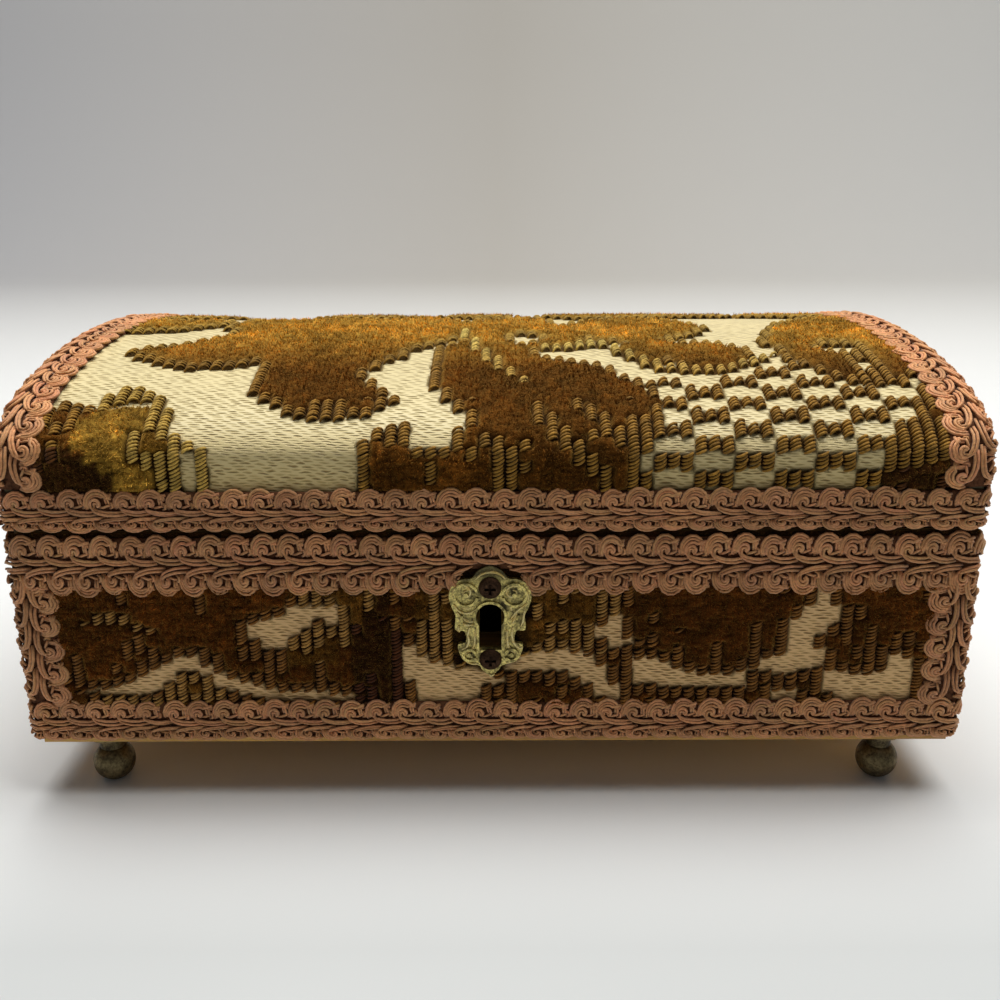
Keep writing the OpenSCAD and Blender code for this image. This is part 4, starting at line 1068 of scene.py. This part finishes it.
# The arch braids on the dome get painted light: their cords are 1.2 times brighter.
for side, name in ((-1, "left"), (1, "right")):
    gimp_band(f"{name}_arch_gimp", f"lid_{name}_arch_braid", "lid", DOME_LENGTH + 4, place_arch(side),
              start=-2.0, seed=14 + side, painted_top_light=1.2)
for side, end, name in ((-1, -1, "front_left"), (1, -1, "front_right"), (-1, 1, "back_left"), (1, 1, "back_right")):
    gimp_band(f"{name}_corner_gimp", "corner_braids", "case", 29.5, place_corner(side, end), start=24.1,
              seed=20 + side + 3 * end)

# ------------------------------------------------------------------ scrollwork of the escutcheon
def through(points, steps):
    """A smooth path through the points, with the given number of steps between each two."""
    pts = np.array([points[0], *points, points[-1]], float)
    out = []
    for a, b, c, d in zip(pts, pts[1:], pts[2:], pts[3:]):
        for t in np.arange(steps) / steps:
            out.append(0.5 * (2 * b + (c - a) * t + (2 * a - 5 * b + 4 * c - d) * t * t
                              + (3 * b - a - 3 * c + d) * t ** 3))
    out.append(pts[-1])
    return np.array(out)


parts = []
for ridge in PLATE_RIDGES:
    line = through(ridge, 4)
    path = np.stack([KEY_X + line[:, 0], np.full(len(line), plate_high[1] - PLATE_T), KEY_Z + line[:, 1]], axis=1)
    swell = 0.16 + 0.2 * np.sin(math.pi * np.linspace(0.08, 0.92, len(line)))
    verts, quads, caps = tubes(path[None], np.broadcast_to([0.0, -1.0, 0.0], (1, len(line), 3)), swell, 6)
    parts.append((verts, quads, caps, np.ones((len(verts), 3))))
verts, faces, tints = finish_tubes(parts)
scrolls = make_mesh("escutcheon_scrolls", verts, faces, [WORN_GOLD])
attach(scrolls, "case")


# ------------------------------------------------------------------ padded floor and linings
def slab(points, normals, thick):
    """A closed sheet on a grid of points, thick along the normals."""
    n, m = thick.shape
    verts = np.concatenate([points.reshape(-1, 3), (points + normals * thick[..., None]).reshape(-1, 3)])
    index = np.arange(n * m).reshape(n, m)
    back = np.stack([index[:-1, :-1], index[1:, :-1], index[1:, 1:], index[:-1, 1:]], axis=-1).reshape(-1, 4)
    rim = np.concatenate([index[:, 0], index[-1, 1:], index[-2::-1, -1], index[0, -2:0:-1]])
    after = np.roll(rim, -1)
    sides = np.stack([rim, after, after + n * m, rim + n * m], axis=-1)
    return verts, np.concatenate([back, back[:, ::-1] + n * m, sides])


def padded_piece(name, node, body, slabs):
    verts, faces, base = [], [], 0
    for v, f in slabs:
        verts.append(v)
        faces.append(f + base)
        base += len(v)
    piece = make_mesh(name, np.concatenate(verts), np.concatenate(faces), [LINING])
    form = bmesh.new()
    form.from_mesh(piece.data)
    bmesh.ops.recalc_face_normals(form, faces=form.faces)
    form.to_mesh(piece.data)
    form.free()
    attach(piece, body)
    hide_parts(node)


def fullness(a, b, edge):
    """How full a padded panel is over a and b from -1 to 1: flat in the middle, rounded off at the edges."""
    return 0.2 + 0.8 * np.sqrt(np.clip((1 - np.abs(a) ** edge) * (1 - np.abs(b) ** edge), 0, 1))


def unit_grid(n, m):
    return np.meshgrid(np.linspace(-1, 1, n), np.linspace(-1, 1, m), indexing="ij")


pad_low, pad_high = box_mm("floor_pad")
a, b = unit_grid(221, 141)
half = (pad_high - pad_low) / 2
x = a * (half[0] - 0.5 * (1 - b ** 2))
y = b * (half[1] - 0.5 * (1 - a ** 2))
diamond = [np.abs((x + way * y) / QUILT - np.round((x + way * y) / QUILT)) * QUILT / math.sqrt(2) for way in (1, -1)]
stitch = sum(np.exp(-(d / 1.3) ** 2) for d in diamond)
dimple = np.exp(-(diamond[0] ** 2 + diamond[1] ** 2) / 6)
puffed = fullness(a, b, 14) * (1 - 0.3 * stitch) - 0.12 * dimple + 0.03 * noise(x, y, 5.0, 60)
thick = (pad_high[2] - pad_low[2]) * np.clip(puffed, 0.08, 1)
points = np.stack([x, y + CENTRE_Y, np.full_like(x, pad_low[2])], axis=-1)
padded_piece("quilted_floor", "floor_pad", "case", [slab(points, np.broadcast_to([0.0, 0, 1], points.shape), thick)])

wall_low, wall_high = box_mm("wall_lining")
lock_low, lock_high = box_mm("lock_plate")
LINING_T, NOTCH = 1.2, 0.4
slabs = []
for axis, level, way, u0, u1, z0 in (
        (1, wall_low[1], 1, wall_low[0], lock_low[0] - NOTCH, wall_low[2]),
        (1, wall_low[1], 1, lock_high[0] + NOTCH, wall_high[0], wall_low[2]),
        (1, wall_low[1], 1, lock_low[0] - NOTCH, lock_high[0] + NOTCH, None),
        (1, wall_high[1], -1, wall_low[0], wall_high[0], wall_low[2]),
        (0, wall_low[0], 1, wall_low[1] + LINING_T, wall_high[1] - LINING_T, wall_low[2]),
        (0, wall_high[0], -1, wall_low[1] + LINING_T, wall_high[1] - LINING_T, wall_low[2])):
    z1 = wall_high[2] if z0 is not None else lock_low[2] - NOTCH
    a, b = unit_grid(max(8, round((u1 - u0) / 1.5)), 36)
    u, z = (u0 + u1) / 2 + a * (u1 - u0) / 2, (wall_low[2] + z1) / 2 + b * (z1 - wall_low[2]) / 2
    thick = LINING_T * np.clip(fullness(a, b, 24) - 0.12 * noise(u, z, 6.0, 61), 0.1, 1)
    points = np.zeros(a.shape + (3,))
    points[..., 1 - axis], points[..., axis], points[..., 2] = u, level, z
    normal = np.zeros(3)
    normal[axis] = way
    slabs.append(slab(points, np.broadcast_to(normal, points.shape), thick))
padded_piece("wall_panels", "wall_lining", "case", slabs)

lining_low, lining_high = box_mm("lid_lining")
end_low, end_high = box_mm("lid_end_linings")
strike_low, strike_high = box_mm("lock_strike")
LID_PAD_T, PANEL_T = 1.5, 3.0
reach = (lining_high[1] - lining_low[1]) / 2
arc_a, arc_b = HALF_Y - 1.2 - PANEL_T, lining_high[2] - SPRING_Z
turn = np.linspace(math.acos(reach / arc_a), math.pi - math.acos(reach / arc_a), 120)
leg = np.linspace(lining_low[2], SPRING_Z + arc_b * math.sin(turn[0]), 30)[:-1]
y = np.concatenate([np.full(29, -reach), -arc_a * np.cos(turn), np.full(29, reach)])
z = np.concatenate([leg, SPRING_Z + arc_b * np.sin(turn), leg[::-1]])
inward = np.concatenate([np.tile([1.0, 0.0], (29, 1)),
                         np.stack([np.cos(turn) / arc_a, -np.sin(turn) / arc_b], axis=1),
                         np.tile([-1.0, 0.0], (29, 1))])
inward /= np.linalg.norm(inward, axis=1, keepdims=True)
a, b = unit_grid(260, len(y))
x = a * lining_high[0]
points = np.stack([x, np.broadcast_to(y + CENTRE_Y, x.shape), np.broadcast_to(z, x.shape)], axis=-1)
normals = np.concatenate([np.zeros(x.shape + (1,)), np.broadcast_to(inward, x.shape + (2,))], axis=-1)
wander = 0.7 * noise(x, b * 40, 22.0, 62)
gathers = (0.5 + 0.5 * np.sin(2 * math.pi * (x / 6.4 + wander))) ** 1.6
thick = LID_PAD_T * (fullness(a, b, 30) - 0.6 * gathers * (0.75 + 0.25 * np.abs(b) ** 3))
at_strike = (x > strike_low[0] - NOTCH) & (x < strike_high[0] + NOTCH) & (points[..., 2] < strike_high[2] + NOTCH)
thick = np.where(at_strike & (points[..., 1] < CENTRE_Y), 0.03, np.clip(thick, 0.12, LID_PAD_T))
padded_piece("gathered_lid_lining", "lid_lining", "lid", [slab(points, normals, thick)])

slabs = []
end_a, end_b = arc_a - LID_PAD_T, arc_b - LID_PAD_T
for side in (-1, 1):
    a, b = unit_grid(100, 30)
    y = a * (end_high[1] - end_low[1]) / 2
    top = np.where(np.abs(y) < end_a, SPRING_Z + end_b * np.sqrt(np.clip(1 - (y / end_a) ** 2, 0, 1)), SPRING_Z)
    z = end_low[2] + (b + 1) / 2 * (top - end_low[2])
    points = np.stack([np.full_like(y, side * end_high[0]), y + CENTRE_Y, z], axis=-1)
    thick = LID_PAD_T * np.clip(fullness(a, b, 16) - 0.1 * noise(y, z, 6.0, 63), 0.1, 1)
    slabs.append(slab(points, np.broadcast_to([-side, 0.0, 0.0], points.shape), thick))
padded_piece("lid_end_panels", "lid_end_linings", "lid", slabs)

# ------------------------------------------------------------------ stage, lights and camera
def stage():
    k = Look("backdrop", Roughness=0.4, Specular_IOR_Level=0.3, view=(0.8, 0.8, 0.8))
    place = k.node("ShaderNodeSeparateXYZ")
    k.link(k.coords(), place.inputs[0])
    depth = k.math("MULTIPLY_ADD", place.outputs[1], 0.8, 0.1)
    across = k.math("MULTIPLY_ADD", place.outputs[0], 0.4, 0.5)
    # Painted light: the wall is lighter towards the right.
    wall = k.ramp(across, [(0.2, linear(208, 208, 210)), (0.5, linear(204, 200, 193)), (0.8, linear(238, 237, 234))])
    near = k.math("MULTIPLY_ADD", place.outputs[1], -5.0, -0.3)
    # Painted light: the floor is lightest just in front of the box, against the box's shadow.
    floor = k.ramp(near, [(0.15, linear(248, 250, 250)), (0.35, linear(213, 216, 216)), (0.9, linear(200, 204, 205))])
    k.colour(k.mix(k.ramp(depth, [(0.25, grey(0.0)), (0.95, grey(1.0))]), floor, wall))
    k.link(k.ramp(depth, [(0.2, grey(0.34)), (0.6, grey(0.95))]), k.shader.inputs["Roughness"])
    profile = [(-2.5, 0.0), (1.1, 0.0)]
    for step in range(1, 13):
        a = math.pi / 2 * step / 12
        profile.append((1.1 + 0.35 * math.sin(a), 0.35 - 0.35 * math.cos(a)))
    profile.append((1.45, 3.0))
    verts, faces = [], []
    for x in (-3.0, 3.0):
        verts += [(x / MM, y / MM, z / MM) for y, z in profile]
    n = len(profile)
    for i in range(n - 1):
        faces.append((i, n + i, n + i + 1, i + 1))
    make_mesh("backdrop", verts, faces, [k.mat])


def area_light(name, place, aim, size, power, colour=(1, 1, 1)):
    data = bpy.data.lights.new(name, "AREA")
    data.shape = "RECTANGLE"
    data.size, data.size_y = size
    data.energy = power
    data.color = colour
    lamp = bpy.data.objects.new(name, data)
    lamp.location = place
    lamp.rotation_euler = (Vector(aim) - Vector(place)).to_track_quat("-Z", "Y").to_euler()
    bpy.context.scene.collection.objects.link(lamp)


stage()
bpy.context.scene.view_settings.view_transform = "Standard"
area_light("overhead", (0.1, 0.22, 1.4), (0, 0.02, 0), (1.6, 0.9), 28, (1.0, 0.99, 0.965))
area_light("front_fill", (0.5, -1.4, 0.9), (0, 0, 0.05), (1.2, 0.8), 0.3, (1.0, 0.96, 0.9))
world = bpy.data.worlds.new("soft_room")
world.use_nodes = True
world.node_tree.nodes["Background"].inputs["Color"].default_value = (0.9, 0.93, 1.0, 1)
world.node_tree.nodes["Background"].inputs["Strength"].default_value = 0.07
bpy.context.scene.world = world

pitch, yaw, roll = math.radians(17.58), math.radians(0.01), math.radians(-0.19)
forward = Vector((math.sin(yaw) * math.cos(pitch), math.cos(yaw) * math.cos(pitch), -math.sin(pitch)))
level = forward.cross(Vector((0, 0, 1))).normalized()
right = level * math.cos(roll) + level.cross(forward) * math.sin(roll)
up = right.cross(forward)
camera_data = bpy.data.cameras.new("camera")
camera_data.lens, camera_data.sensor_width = 38.88, 36.0
camera_data.clip_start = 0.01
camera = bpy.data.objects.new("camera", camera_data)
camera.matrix_world = Matrix.Translation((0.0013, -0.304563, 0.1474)) @ Matrix(
    (right, up, -forward)).transposed().to_4x4()
bpy.context.scene.collection.objects.link(camera)
bpy.context.scene.camera = camera

# ------------------------------------------------------------------ materials of the carried-over nodes
NODE_LOOKS = {
    "escutcheon": ANTIQUE_GOLD, "escutcheon_screws": DARK_SCREW, "lock_bolt": STEEL, "lock_spring": STEEL,
    "lock_cap": KEYHOLE_SHADE_STEEL, "bottom_board": BOARD_VARNISH_AND_BOUNCE,
}
for node_name, obj in nodes.items():
    look = NODE_LOOKS.get(node_name)
    if look is None:
        if node_name.startswith("ball_foot"):
            look = FEET_BRASS
        elif node_name.startswith(("hinge_", "lock_", "strike_")):
            look = LOCK_BRASS
        else:
            look = WOOD
    if not obj.material_slots:
        obj.data.materials.append(look)
    for slot in obj.material_slots:
        slot.material = look
